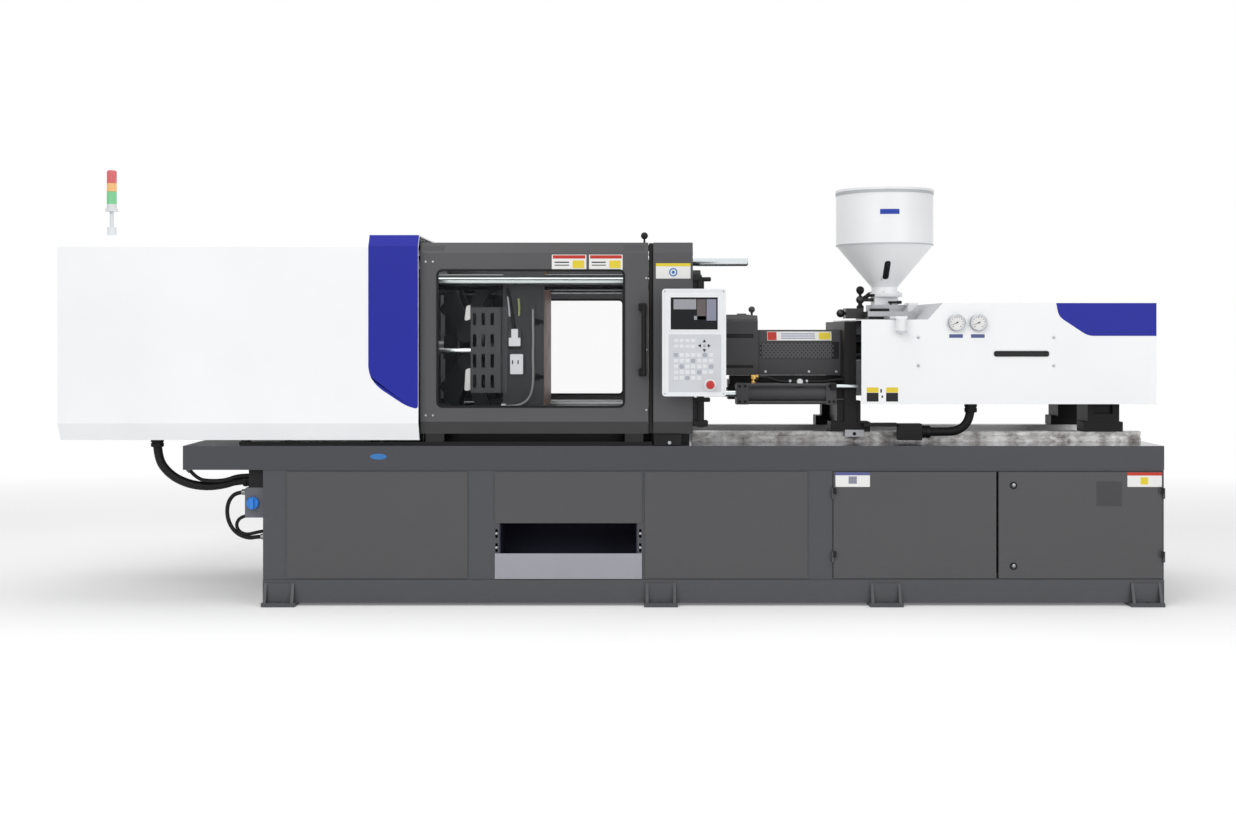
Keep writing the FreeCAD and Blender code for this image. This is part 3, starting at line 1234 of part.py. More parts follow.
def hopper():
    """Thin hopper: bolted foot, neck, cone, cylinder and a turned-out rim, with a sight slot in the cone."""
    s = HOPPER_SHEET
    neck = HOPPER_NECK_R
    shell = turned([(neck - s, BASE_TOP), (HOPPER_FLANGE_R, BASE_TOP), (HOPPER_FLANGE_R, BASE_TOP + 8),
                    (neck, BASE_TOP + 8), (neck, HOPPER_FOOT + 24), (HOPPER_R, HOPPER_SEAM),
                    (HOPPER_R, HOPPER_RIM - 8), (HOPPER_R + 4, HOPPER_RIM - 8), (HOPPER_R + 4, HOPPER_RIM),
                    (HOPPER_R - s, HOPPER_RIM), (HOPPER_R - s, HOPPER_SEAM + 1),
                    (neck - s, HOPPER_FOOT + 25)], V(THROAT_X, 0, 0), V(0, 0, 1))
    slot = rounded_xz((SIGHT_X - SIGHT_HALF, SIGHT_X + SIGHT_HALF), SIGHT_Z, (-HOPPER_R, 0), 12)
    ears = [box((THROAT_X + x - 12, THROAT_X + x + 12), (HOPPER_R - 1, LID_HINGE_Y + 6),
                (HOPPER_RIM - 16, HOPPER_RIM - 8)) for x in (-60, 60)]
    pin = [rod_x(4, (THROAT_X - 80, THROAT_X + 80), LID_HINGE_Y, HOPPER_RIM - 2)]
    posts = [box((THROAT_X + x - 12, THROAT_X + x + 12), (LID_HINGE_Y - 6, LID_HINGE_Y + 6),
                 (HOPPER_RIM - 16, HOPPER_RIM + 4)) for x in (-60, 60)]
    return fuse([cut(shell, [slot])] + ears + posts + pin)


def hopper_lid():
    """Flat lid with a turned-down edge outside the rim, and its hinge knuckle."""
    r = HOPPER_R + 4
    top = HOPPER_RIM + SEAT
    lid = turned([(0, 0), (r, 0), (r, 3), (0, 3)], V(THROAT_X, 0, top), V(0, 0, 1))
    arm = box((THROAT_X - 40, THROAT_X + 40), (HOPPER_R - 20, LID_HINGE_Y), (top, top + 3))
    knuckle = rod_x(9, (THROAT_X - 40, THROAT_X + 40), LID_HINGE_Y, HOPPER_RIM - 2)
    bore = rod_x(4 + RUN, (THROAT_X - 41, THROAT_X + 41), LID_HINGE_Y, HOPPER_RIM - 2)
    return cut(fuse([lid, arm, knuckle]), [bore])


def injection_drive():
    """Thrust block on the two guide bars with the hydraulic motor behind it."""
    block = box(DRIVE_X, (-DRIVE_HALF, DRIVE_HALF), (AXIS_Z - 105, AXIS_Z + 105))
    motor = turned([(0, 0), (MOTOR_R - 20, 0), (MOTOR_R - 20, 60), (MOTOR_R, 60),
                    (MOTOR_R, MOTOR_END - DRIVE_X[1] - 40), (MOTOR_R - 40, MOTOR_END - DRIVE_X[1]),
                    (0, MOTOR_END - DRIVE_X[1])], V(DRIVE_X[1], 0, AXIS_Z), V(1, 0, 0))
    holes = [rod_x(GUIDE_R + RUN, (DRIVE_X[0] - 1, DRIVE_X[1] + 1), side * GUIDE_Y, AXIS_Z)
             for side in (-1, 1)]
    holes.append(rod_x(20 + RUN, (DRIVE_X[0] - 1, DRIVE_X[0] + 60), 0, AXIS_Z))
    return cut(fuse([block, motor]), holes)


def screw():
    """Screw: pointed tip, check ring, a core with one helical flight, and the shank in the drive."""
    r = BARREL_BORE
    core = SCREW_CORE
    flight_left = SCREW_TIP + 90
    end = DRIVE_X[0] + 56
    body = turned([(0, 0), (14, 22), (14, 44), (r, 46), (r, 76), (core, 78), (core, BARREL_RIGHT - SCREW_TIP),
                   (20, BARREL_RIGHT + 1 - SCREW_TIP), (20, end - SCREW_TIP), (0, end - SCREW_TIP)],
                  V(SCREW_TIP, 0, AXIS_Z), V(1, 0, 0))
    long_way = SCREW_TURNS * SCREW_PITCH
    path = Part.makeHelix(SCREW_PITCH, long_way, core)
    land = face_of([V(core - 2, 0, -4), V(r, 0, -3), V(r, 0, 3), V(core - 2, 0, 4)]).OuterWire
    flight = Part.Wire(path).makePipeShell([land], True, True)
    flight.Placement = FreeCAD.Placement(V(flight_left, 0, AXIS_Z), FreeCAD.Rotation(V(0, 0, 1), V(1, 0, 0)))
    return body.fuse(flight)


def write_parts():
    """Writes every piece under its node's name."""
    os.makedirs("parts", exist_ok=True)
    same = lambda point: point
    guide, guide_bore = safety_guide()
    save("bed_frame", bed_frame())
    save("bed_panels", bed_panels())
    save("chute_tray", chute_tray())
    save("switchgear", switchgear())
    save("cabinet_door_left", cabinet_door(-1))
    save("cabinet_door_right", cabinet_door(1))
    save("rear_platen", rear_platen())
    save("moving_platen", moving_platen())
    save("fixed_platen", fuse([fixed_platen(), guide]).cut(guide_bore))
    save("tie_bars", tie_bars())
    save("tie_bar_nuts", tie_bar_nuts())
    save("clamp_cylinder", clamp_cylinder())
    save("upper_rear_link", rear_link(same))
    save("lower_rear_link", rear_link(lower))
    save("upper_front_link", front_link(same, False))
    save("lower_front_link", front_link(lower, True))
    save("upper_crosshead_link", crosshead_link(same, False))
    save("lower_crosshead_link", crosshead_link(lower, True))
    save("crosshead", crosshead())
    save("ejector_plate", ejector_plate())
    save("clamp_cover_front", cover_shell())
    save("clamp_cover_rear", flipped(cover_half()))
    save("front_gate", gate(WINDOW_Z))
    save("front_gate_window", gate_window(WINDOW_Z))
    save("gate_handle", gate_handle())
    save("rear_gate", flipped(gate(REAR_WINDOW_Z)))
    save("rear_gate_window", flipped(gate_window(REAR_WINDOW_Z)))
    save("gate_rails", gate_rails())
    save("column_covers", group(both(column_cover())))
    save("panel_post", panel_post())
    save("control_panel", control_panel())
    save("emergency_button", emergency_button())
    save("beacon_pole", beacon_pole())
    save("beacon_lenses", beacon_lenses())
    save("junction_box", junction_box())
    save("selector_knob", selector_knob())
    save("ejector_guard", ejector_guard())
    save("platen_socket", platen_socket())
    save("platen_rods", platen_rods())
    save("purge_guard", purge_guard())
    save("carriage_rails", carriage_rails())
    save("front_support", front_support())
    save("rear_support", rear_support())
    save("barrel", barrel())
    save("heater_bands", heater_bands())
    save("barrel_guard", barrel_guard())
    save("carriage_cylinders", carriage_cylinders())
    save("cylinder_rods", cylinder_rods())
    save("injection_cover", injection_cover())
    save("pressure_gauges", pressure_gauges())
    save("hopper_base", hopper_base())
    save("hopper", hopper())
    save("hopper_lid", hopper_lid())
    save("injection_drive", injection_drive())
    save("screw", screw())
    save("cable_bundle", cord("cable_bundle", MAIN_CORD, MAIN_CORD_R))
    save("signal_cable", cord("signal_cable", SIGNAL_CORD, SIGNAL_CORD_R))
    save("oil_hose", cord("oil_hose", OIL_HOSE, OIL_HOSE_R))
    save("platen_cable", cord("platen_cable", PLATEN_CORD, PLATEN_CORD_R))
    save("injection_hose", cord("injection_hose", HOSE, HOSE_R))


write_parts()
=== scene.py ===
"""Looks of the injection moulding machine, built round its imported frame.

Metres. X runs to the injection end, Y away from the operator, Z up; the front of the machine
faces -Y. Shapes are worked out with Y = 0 on the machine's own centre plane, and piece() moves
them to CENTRE_Y, where that plane lies in the frame.
"""

import math

import bmesh
import bpy
import numpy as np
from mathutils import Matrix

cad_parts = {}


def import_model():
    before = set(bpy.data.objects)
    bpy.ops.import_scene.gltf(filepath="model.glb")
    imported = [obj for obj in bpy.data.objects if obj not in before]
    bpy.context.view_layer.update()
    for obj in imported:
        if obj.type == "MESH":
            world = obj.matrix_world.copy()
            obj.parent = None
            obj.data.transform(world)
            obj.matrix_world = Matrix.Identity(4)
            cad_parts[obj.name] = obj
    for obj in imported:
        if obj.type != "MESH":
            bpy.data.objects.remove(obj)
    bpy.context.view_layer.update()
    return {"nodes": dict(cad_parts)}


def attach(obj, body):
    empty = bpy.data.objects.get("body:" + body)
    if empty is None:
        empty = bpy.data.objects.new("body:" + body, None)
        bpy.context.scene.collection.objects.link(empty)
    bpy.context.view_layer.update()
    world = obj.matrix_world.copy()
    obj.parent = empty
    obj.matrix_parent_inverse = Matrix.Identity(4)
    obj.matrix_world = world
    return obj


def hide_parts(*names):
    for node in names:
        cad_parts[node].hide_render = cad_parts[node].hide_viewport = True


CENTRE_Y = 0.070
MERGE = 1e-6
SHARP_ANGLE = math.radians(32)

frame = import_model()
NODES = frame["nodes"]


# ---------------------------------------------------------------- shader helpers

def operator(name, swapped=False):
    """Method that adds the Math node of one operation on a socket and another term."""
    def method(self, other):
        terms = (other, self) if swapped else (self, other)
        return self.finish.node("ShaderNodeMath", {"operation": name}, *terms)
    return method


class Value:
    """A socket of one material; an expression on it adds the Math nodes that work it out."""

    def __init__(self, finish, socket):
        self.finish = finish
        self.socket = socket

    __add__ = __radd__ = operator("ADD")
    __mul__ = __rmul__ = operator("MULTIPLY")
    __sub__ = operator("SUBTRACT")
    __rsub__ = operator("SUBTRACT", swapped=True)
    __truediv__ = operator("DIVIDE")
    __pow__ = operator("POWER")
    __gt__ = operator("GREATER_THAN")
    __lt__ = operator("LESS_THAN")

    def clamped(self):
        return self.finish.node("ShaderNodeClamp", {}, self, 0.0, 1.0)


class Finish:
    """One procedural material, or the world: node() adds its nodes, skin() its surface."""

    def __init__(self, name, kind="materials", output="ShaderNodeOutputMaterial"):
        self.material = getattr(bpy.data, kind).new(name)
        self.material.use_nodes = True
        self.tree = self.material.node_tree
        self.tree.nodes.clear()
        self.output = self.tree.nodes.new(output)
        self.place = self.node("ShaderNodeTexCoord", {}, out="Object")

    def feed(self, socket, value):
        """Links a Value to a socket, or writes a plain number or colour on it."""
        if isinstance(value, Value):
            self.tree.links.new(value.socket, socket)
        elif hasattr(value, "__len__") and len(value) == 3 and len(socket.default_value) == 4:
            socket.default_value = (*value, 1.0)
        else:
            socket.default_value = value

    def node(self, kind, settings, *values, out=0, named=None):
        """Adds a node, sets it up, feeds its sockets in order and by name; gives one output."""
        made = self.tree.nodes.new(kind)
        for key, value in settings.items():
            setattr(made, key, value)
        for socket, value in zip(made.inputs, values):
            self.feed(socket, value)
        for key, value in (named or {}).items():
            self.feed(made.inputs[key], value)
        return Value(self, made.outputs[out])

    def noise(self, scale, detail=2.0, roughness=0.5, stretch=None):
        """Soft noise between 0 and 1, scale in cells a metre; stretch scales each axis for streaks."""
        place = self.place
        if stretch:
            place = self.node("ShaderNodeMapping", {}, named={"Vector": place, "Scale": stretch})
        return self.node("ShaderNodeTexNoise", {}, named={
            "Vector": place, "Scale": scale, "Detail": detail, "Roughness": roughness})

    def waves(self, scale, distortion=0.0, **settings):
        """Sine bands or rings between 0 and 1, scale in turns a metre."""
        return self.node("ShaderNodeTexWave", settings, named={
            "Vector": self.place, "Scale": scale, "Distortion": distortion})

    def sprayed(self, grain=420.0):
        """What every sprayed coat shares: orange peel, slow change of tone, rubbed streaks."""
        return (self.noise(grain, 2.0, 0.55), self.noise(2.2, 3.0),
                self.noise(34.0, 4.0, 0.6, (0.5, 1.0, 2.2)))

    def axis(self, which):
        """One coordinate of the place, in metres."""
        return self.node("ShaderNodeSeparateXYZ", {}, self.place, out=which)

    def mix(self, factor, first, second):
        """Colour that goes from first to second as factor goes from 0 to 1."""
        return self.node("ShaderNodeMix", {"data_type": "RGBA"}, out=2,
                         named={0: factor, 6: first, 7: second})

    def between(self, factor, first, second):
        """Number that goes from first to second as factor goes from 0 to 1."""
        return first + (second - first) * factor

    def toned(self, tone, colour, dark=0.95, light=1.05):
        """A colour that drifts a little darker and lighter with a soft noise."""
        return self.mix(tone, shaded(colour, dark), shaded(colour, light))

    def skin(self, base, gloss, mirror=0.5, bumps=None, high=0.0, **others):
        """Ends the material in one Principled surface.

        gloss is its roughness, mirror its specular level, bumps a height map whose 1 stands
        high metres out, and others are further sockets by their names.
        """
        sockets = {"Base Color": base, "Roughness": gloss, "Specular IOR Level": mirror}
        if bumps:
            sockets["Normal"] = self.node("ShaderNodeBump", {}, named={
                "Height": bumps, "Distance": high, "Strength": 1.0})
        sockets.update((key.replace("_", " "), value) for key, value in others.items())
        return self.end(self.node("ShaderNodeBsdfPrincipled", {}, named=sockets))

    def end(self, surface):
        """Links the last shader to the output."""
        self.tree.links.new(surface.socket, self.output.inputs[0])
        return self.material


def rgb(*parts):
    """Linear colour from 0..255 display values."""
    share = np.array(parts, float) / 255.0
    low = share <= 0.04045
    return tuple(np.where(low, share / 12.92, ((share + 0.055) / 1.055) ** 2.4))


def shaded(colour, by):
    """A colour made darker or lighter by a factor."""
    return tuple(min(1.0, part * by) for part in colour)


# ---------------------------------------------------------------- shapes worked out as arrays

def placed(name, data):
    """Puts a mesh, curve, lamp or camera into the scene."""
    made = bpy.data.objects.new(name, data)
    bpy.context.scene.collection.objects.link(made)
    return made


def piece(name, shapes, body, finish, smooth=True, replaced=()):
    """One object from shapes (points, faces) or (points, faces, finish of their own).

    Its points move to the frame's place, doubles are merged, so that seams and poles close, and
    the faces are turned outwards. Its slot is the finish's usual one unless another is given.
    """
    points, faces, kinds, finishes, count = [], [], [], [finish], 0
    for shape in shapes:
        own = shape[2] if len(shape) > 2 else finish
        if own not in finishes:
            finishes.append(own)
        points.append(np.asarray(shape[0], float).reshape(-1, 3))
        faces += [tuple(int(i) + count for i in face) for face in shape[1]]
        kinds += [finishes.index(own)] * len(shape[1])
        count += len(points[-1])
    mesh = bpy.data.meshes.new(name)
    mesh.from_pydata(np.concatenate(points) + (0.0, CENTRE_Y, 0.0), [], faces)
    for each in finishes:
        mesh.materials.append(each)
    mesh.polygons.foreach_set("material_index", kinds)
    work = bmesh.new()
    work.from_mesh(mesh)
    bmesh.ops.remove_doubles(work, verts=work.verts, dist=MERGE)
    bmesh.ops.dissolve_degenerate(work, edges=work.edges, dist=MERGE)
    bmesh.ops.recalc_face_normals(work, faces=work.faces)
    work.to_mesh(mesh)
    work.free()
    made = placed(name, mesh)
    mesh.polygons.foreach_set("use_smooth", np.full(len(mesh.polygons), smooth))
    if smooth:
        mesh.set_sharp_from_angle(angle=SHARP_ANGLE)
    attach(made, body)
    if replaced:
        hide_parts(*replaced)
    return made


def grid_faces(rows, columns):
    """Quads of a rows by columns grid of points whose last column joins the first."""
    row, column = np.mgrid[0:rows - 1, 0:columns]
    after = (column + 1) % columns
    corners = (row * columns + column, row * columns + after,
               (row + 1) * columns + after, (row + 1) * columns + column)
    return np.stack(corners, -1).reshape(-1, 4)


def capped(rows, columns):
    """The same quads, and a face over the first row and over the last."""
    last = (rows - 1) * columns
    return [tuple(face) for face in grid_faces(rows, columns)] + \
        [tuple(range(columns)), tuple(range(last, last + columns))]


def circle(steps):
    """Cosine and sine of evenly spaced turns."""
    turn = np.linspace(0, 2 * np.pi, steps, endpoint=False)
    return np.cos(turn), np.sin(turn)


def ordered(axis, across, up, along):
    """Points whose along runs on the axis; across and up take the other two in the order x, y, z."""
    orders = {"x": (along, across, up), "y": (across, along, up), "z": (across, up, along)}
    return np.stack(orders[axis], -1)


def turned(profile, centre=(0, 0, 0), axis="z", steps=24):
    """Profile of (radius, height) pairs turned round an axis: centre + radius (cos, sin) + height."""
    radius, height = np.array(profile, float).T
    cos, sin = circle(steps)
    level = np.repeat(height[:, None], steps, 1)
    points = ordered(axis, radius[:, None] * cos, radius[:, None] * sin, level)
    return points.reshape(-1, 3) + np.asarray(centre, float), grid_faces(len(radius), steps)


def pin(radius, low, high, centre=(0, 0, 0), axis="z", steps=24):
    """Plain round pin between two heights on an axis."""
    return turned([(0, low), (radius, low), (radius, high), (0, high)], centre, axis, steps)


def rounded(low, high, radius, steps=5):
    """Outline of a rectangle with rounded corners: a quarter turn of the radius at each corner."""
    (left, bottom), (right, top) = low, high
    quarter = np.linspace(0, np.pi / 2, steps)
    outline = []
    for turn, (x, y) in enumerate(((right, top), (left, top), (left, bottom), (right, bottom))):
        way = quarter + turn * np.pi / 2
        inset = (x - np.sign(x - 0.5 * (left + right)) * radius,
                 y - np.sign(y - 0.5 * (bottom + top)) * radius)
        outline.append(np.stack([inset[0] + radius * np.cos(way), inset[1] + radius * np.sin(way)], -1))
    return np.concatenate(outline)


def shrunk(outline, by):
    """Closed outline moved inwards by a distance along the mean normal of its two edges."""
    edge = np.roll(outline, -1, 0) - outline
    edge = edge / np.maximum(np.linalg.norm(edge, axis=1, keepdims=True), 1e-9)
    normal = np.stack([-edge[:, 1], edge[:, 0]], -1)
    mean = normal + np.roll(normal, 1, 0)
    share = np.maximum((mean * mean).sum(1, keepdims=True) / 2, 0.3)
    return outline + by * mean / share


def stacked(rings, axis="y"):
    """Rings of flat outlines, each with its level on the axis."""
    return np.concatenate([ordered(axis, *ring.T, np.full(len(ring), level)) for ring, level in rings])


def plate(outline, back, front, bevel):
    """Flat plate between two levels of Y, its front edge eased by a bevel of the given size."""
    outline = np.asarray(outline, float)
    toward = math.copysign(bevel, back - front)
    rings = ((outline, back), (outline, front + toward), (shrunk(outline, bevel), front))
    return stacked(rings), capped(3, len(outline))


def block(low, high, bevel=0.001):
    """Box with eased edges: a rounded outline at two heights, and a smaller one at each end of Z."""
    (x0, y0, z0), (x1, y1, z1) = low, high
    outline = rounded((x0, y0), (x1, y1), bevel * 1.5, 3)
    inner = shrunk(outline, bevel)
    rings = ((inner, z0), (outline, z0 + bevel), (outline, z1 - bevel), (inner, z1))
    return stacked(rings, "z"), capped(4, len(outline))


def copies(shape, places):
    """The same shape at each of the places: points = shape + place, all at once."""
    points, faces = np.asarray(shape[0], float), shape[1]
    places = np.asarray(places, float).reshape(-1, 3)
    moved = (places[:, None, :] + points[None]).reshape(-1, 3)
    return moved, [tuple(int(i) + k * len(points) for i in face)
                   for k in range(len(places)) for face in faces]


def frames_along(path):
    """Two cross directions at each point of a path, carried on without twist."""
    tangent = np.gradient(path, axis=0)
    tangent /= np.linalg.norm(tangent, axis=1, keepdims=True)
    side = np.empty_like(path)
    start = np.cross(tangent[0], (0, 0, 1.0))
    if np.linalg.norm(start) < 0.1:
        start = np.cross(tangent[0], (0, 1.0, 0))
    side[0] = start / np.linalg.norm(start)
    for i in range(1, len(path)):
        carried = side[i - 1] - tangent[i] * (side[i - 1] @ tangent[i])
        side[i] = carried / np.linalg.norm(carried)
    return side, np.cross(tangent, side)


def rings_on(path, radius, side, up, steps):
    """Round rings on a path's points: point = path + radius (cos side + sin up)."""
    cos, sin = circle(steps)
    ring = cos[:, None] * side[..., None, :] + sin[:, None] * up[..., None, :]
    return (path[:, None] + radius[:, None, None] * ring).reshape(-1, 3)


def tube(path, radius, steps=16):
    """Round tube along a path, its ends closed."""
    path = np.asarray(path, float)
    radius = np.broadcast_to(np.asarray(radius, float), (len(path),))
    return rings_on(path, radius, *frames_along(path), steps), capped(len(path), steps)


def route_curve(name, route, radius):
    """NURBS curve with the route's points as its control points."""
    data = bpy.data.curves.new(name, "CURVE")
    data.dimensions = "3D"
    data.resolution_u = 24
    line = data.splines.new("NURBS")
    line.points.add(len(route) - 1)
    for point, place in zip(line.points, route):
        point.co = (*place, 1.0)
    line.order_u = 3
    line.use_endpoint_u = True
    data.bevel_depth = radius
    data.bevel_resolution = 6
    return placed(name, data)


def evenly(route, step):
    """The route's NURBS line read at even steps of its own length, and each point's way along it."""
    made = route_curve("route", route, 0.0)
    read = bpy.data.meshes.new_from_object(made)
    points = np.array([vertex.co for vertex in read.vertices])
    bpy.data.objects.remove(made)
    bpy.data.meshes.remove(read)
    gone = np.concatenate([[0], np.cumsum(np.linalg.norm(np.diff(points, axis=0), axis=1))])
    along = np.linspace(0, gone[-1], max(int(round(gone[-1] / step)), 2) + 1)
    return np.stack([np.interp(along, gone, points[:, axis]) for axis in range(3)], -1), along


# ---------------------------------------------------------------- finishes

DUST = rgb(150, 146, 138)
BAND_LOW = 0.6645            # lower edge of the bed's band under the deck
DECK_TOP = 0.781
MOULD_FACES = (-0.347, 0.185)    # X of the two faces between which the mould goes
MILLED_REACH = 0.0006
FOLD_TOP = 0.8995            # top of the gates' fold
GATE_LOW = 0.8395            # under it the front gate stands on its black feet
FEET_END = 0.19
AXIS_HIGH = 1.255            # the clamp's axis
ROD_RADIUS = 0.0365
BAR_OUT = 0.333              # the front tie bars' distance from the centre plane
PLUG_AT = -0.4930
PLUG_NECK, PLUG_LOW = 1.3080, 1.2640
PLUG_HALF = (0.0290, 0.0165)     # half the width of its flare and of its neck
PINS = (-0.0100, 0.0180)
PINS_HIGH = (1.1760, 1.1960)
PIN_HALF = 0.0035
SOCKETS_LOW = 0.5732
TRAY_FRONT = -0.5970
LENS_JOINTS = (2.036, 2.078)
SLIDE_END = 1.3135           # X up to which the feed's slide is black
LEVER_ROOT = (1.3705, 1.485)     # X and Z that bound its lever's black root
NECK_LOW = 1.4795
DRAIN_FRONT = -0.30
PALE_PLATE = (1.5215, 1.4435)    # X and Z beyond which its plates are paler


def sprayed_paint(name, colour, gloss, mirror=0.5, grain=420.0, high=0.00006, soil=0.10):
    """Sprayed sheet metal: orange-peel bump, slow tone change and a trace of dust low down."""
    f = Finish(name)
    peel, tone, rub = f.sprayed(grain)
    dust = ((0.9 - f.axis(2)) * 0.9).clamped() * (rub ** 2.0) * soil
    base = f.mix(dust, f.toned(tone, colour), DUST)
    return f.skin(base, gloss + (rub - 0.5) * 0.10, mirror, peel, high)


def bed_paint(name, panel_colour, band_colour):
    """The bed's coat: a darker band under the deck, and a deck top wiped to a mirror of oil."""
    f = Finish(name)
    up = f.axis(2)
    peel, tone, rub = f.sprayed()
    base = f.mix(up > BAND_LOW, f.toned(tone, panel_colour), f.toned(tone, band_colour))
    base = f.mix(((0.5 - up) * 1.2).clamped() * (rub ** 2.0) * 0.16, base, DUST)
    on_deck = up > DECK_TOP - 0.0008
    gloss = f.between(on_deck, 0.42 + (rub - 0.5) * 0.10, 0.05 + rub * 0.10)
    return f.skin(base, gloss, 0.4, peel * (1.0 - on_deck), 0.00005)


def gate_paint(name, colour, painted_fold_shade, feet):
    """The gates' coat, with shade painted on the bottom fold that leans towards the deck, black on the
    feet.
    """
    f = Finish(name)
    peel, tone, rub = f.sprayed()
    # The bottom fold faces down, so its darker colour is painted shade.
    base = f.mix(f.axis(2) < FOLD_TOP, f.toned(tone, colour), f.toned(tone, painted_fold_shade))
    base = f.mix((f.axis(2) < GATE_LOW) * (f.axis(0) < FEET_END), base, feet)
    return f.skin(base, 0.38 + (rub - 0.5) * 0.10, 0.3, peel, 0.00006)


def near_face(f, places):
    """1 on the faces that lie square to X at the places, 0 elsewhere."""
    total = 0.0
    for place in places:
        total = total + (f.axis(0) > place - MILLED_REACH) * (f.axis(0) < place + MILLED_REACH)
    return total.clamped()


def platen_paint(name, colour):
    """Painted casting whose mould faces are milled bare, with a brown film of old oil."""
    f = Finish(name)
    milled = near_face(f, MOULD_FACES)
    sand, hollow, stain = f.noise(260.0, 4.0, 0.65), f.noise(26.0, 3.0), f.noise(9.0, 5.0, 0.62)
    arcs = f.waves(60.0, 2.0, wave_type="RINGS", rings_direction="X")
    paint = f.toned(f.noise(5.0, 3.0), colour, 0.85, 1.15)
    bare = f.mix(((stain - 0.36) * 3.2).clamped(), rgb(120, 92, 74), rgb(86, 52, 40))
    gloss = f.between(milled, 0.46 + hollow * 0.12, 0.34 + stain * 0.3)
    bumps = f.between(milled, sand * 0.5 + hollow, arcs * 0.06)
    return f.skin(f.mix(milled, paint, bare), gloss, 0.2, bumps, 0.0005, Metallic=milled * 0.35)


def cast_paint(name, colour, gloss):
    """Painted casting: sandy skin, soft hollows, brighter rubbed patches."""
    f = Finish(name)
    sand, hollow = f.noise(260.0, 4.0, 0.65), f.noise(26.0, 3.0)
    rub = (f.noise(14.0, 5.0, 0.65) - 0.58).clamped() * 4.0
    base = f.toned(f.noise(5.0, 3.0), colour, 0.9, 1.1)
    base = f.mix(rub.clamped() * 0.25, base, shaded(colour, 1.7))
    return f.skin(base, gloss + hollow * 0.12, 0.2, sand * 0.5 + hollow, 0.0005)


def rod_in_casting(name, colour):
    """Dark casting round the clamp axis, and the bright ground rod that runs along it."""
    f = Finish(name)
    y, z = f.axis(1) - CENTRE_Y, f.axis(2) - AXIS_HIGH
    rod = (y * y + z * z) < ROD_RADIUS ** 2
    sand = f.noise(260.0, 4.0, 0.65)
    lines = f.noise(1.0, 3.0, 0.6, (6.0, 900.0, 900.0))
    gloss = f.between(rod, 0.46 + sand * 0.1, 0.22 + lines * 0.08)
    return f.skin(f.mix(rod, f.toned(sand, colour, 0.85, 1.15), rgb(222, 224, 222)), gloss, 0.25,
                  sand * (1.0 - rod), 0.0003, Metallic=rod * 0.35)


def worn_rail(name):
    """Ground guide rails: bright steel behind, in front under a patchy brown film of oil and dust."""
    f = Finish(name)
    front = f.axis(1) < CENTRE_Y
    patch = (f.noise(8.5, 6.0, 0.76, (1.0, 1.0, 1.6)) * 3.4 - 1.20).clamped() * front
    speck = f.noise(120.0, 3.0, 0.6)
    base = f.mix(patch, rgb(216, 216, 216), rgb(74, 62, 56))
    base = f.mix(speck * 0.3, base, rgb(214, 214, 214))
    return f.skin(base, 0.22 + patch * 0.25, 0.5, speck, 0.00004, Metallic=0.55)


def socket_plastic(name, colour, around, pin):
    """Pale plug and socket; the plug's neck is narrow, so the wall shows beside it above its flare."""
    f = Finish(name)
    x, z = f.axis(0) - PLUG_AT, f.axis(2)
    wide = f.between(z > PLUG_NECK, *PLUG_HALF)
    wall = (z > PLUG_LOW) * ((x * x) > wide * wide)
    level = (z < PINS_HIGH[1]) * (z > PINS_HIGH[0])
    pins = 0.0
    for at in PINS:
        pins = pins + level * ((x - at) * (x - at) < PIN_HALF ** 2)
    grain = f.noise(300.0)
    base = f.mix(pins.clamped(), f.mix(wall, f.toned(grain, colour), around), pin)
    return f.skin(base, 0.42 + grain * 0.08, 0.4, grain, 0.00003)


def bar_chrome(name):
    """Chromed tie bars under oil: the front two carry a painted reflection of the dark gate on their
    front halves, the back two are painted darker as shade.
    """
    f = Finish(name)
    behind = f.axis(1) > CENTRE_Y
    # Front halves of the front bars: a painted reflection of the dark gate.
    painted_gate_reflection = ((CENTRE_Y - BAR_OUT - f.axis(1)) * 60.0 - 0.1).clamped()
    lines = f.noise(1.0, 3.0, 0.6, (4.0, 1400.0, 1400.0))
    film = f.noise(7.0, 4.0, 0.6, (0.5, 3.0, 3.0))
    front = f.mix(painted_gate_reflection, f.mix(film, rgb(214, 224, 222), rgb(190, 198, 196)), rgb(30, 31, 32))
    # Back bars: greys painted darker as shade.
    back = f.mix(film, rgb(128, 130, 130), rgb(100, 102, 102))
    return f.skin(f.mix(behind, front, back), 0.12 + lines * 0.08 + film * 0.1, 0.5, lines, 0.00003,
                  Metallic=0.9)


def ground_steel(name, colour, gloss, brush=(6.0, 900.0, 900.0), oil=0.35):
    """Ground or drawn steel: fine brush lines along one axis, an uneven film of oil."""
    f = Finish(name)
    lines, film = f.noise(1.0, 3.0, 0.6, brush), f.noise(18.0, 3.0, 0.55)
    base = f.mix(film * oil, colour, shaded(colour, 0.72))
    return f.skin(base, gloss + lines * 0.10 + film * 0.08, 0.5, lines, 0.00003, Metallic=1.0)


def moulded_plastic(name, colour, gloss=0.45, mirror=0.5):
    """Moulded plastic: a fine even grain and a faint change of tone."""
    f = Finish(name)
    spark, tone = f.noise(900.0, 1.0), f.noise(9.0)
    return f.skin(f.toned(tone, colour), gloss + (tone - 0.5) * 0.06, mirror, spark, 0.00005)


def cast_rubber(name, colour, gloss=0.55):
    """Oil-proof hose rubber: cloth-pressed skin with a dull bloom."""
    f = Finish(name)
    weave = f.node("ShaderNodeTexVoronoi", {}, named={"Vector": f.place, "Scale": 520.0})
    bloom = f.noise(30.0, 4.0, 0.6)
    return f.skin(f.toned(bloom, colour, 0.8, 1.5), gloss + bloom * 0.15, 0.2, weave, 0.00012)


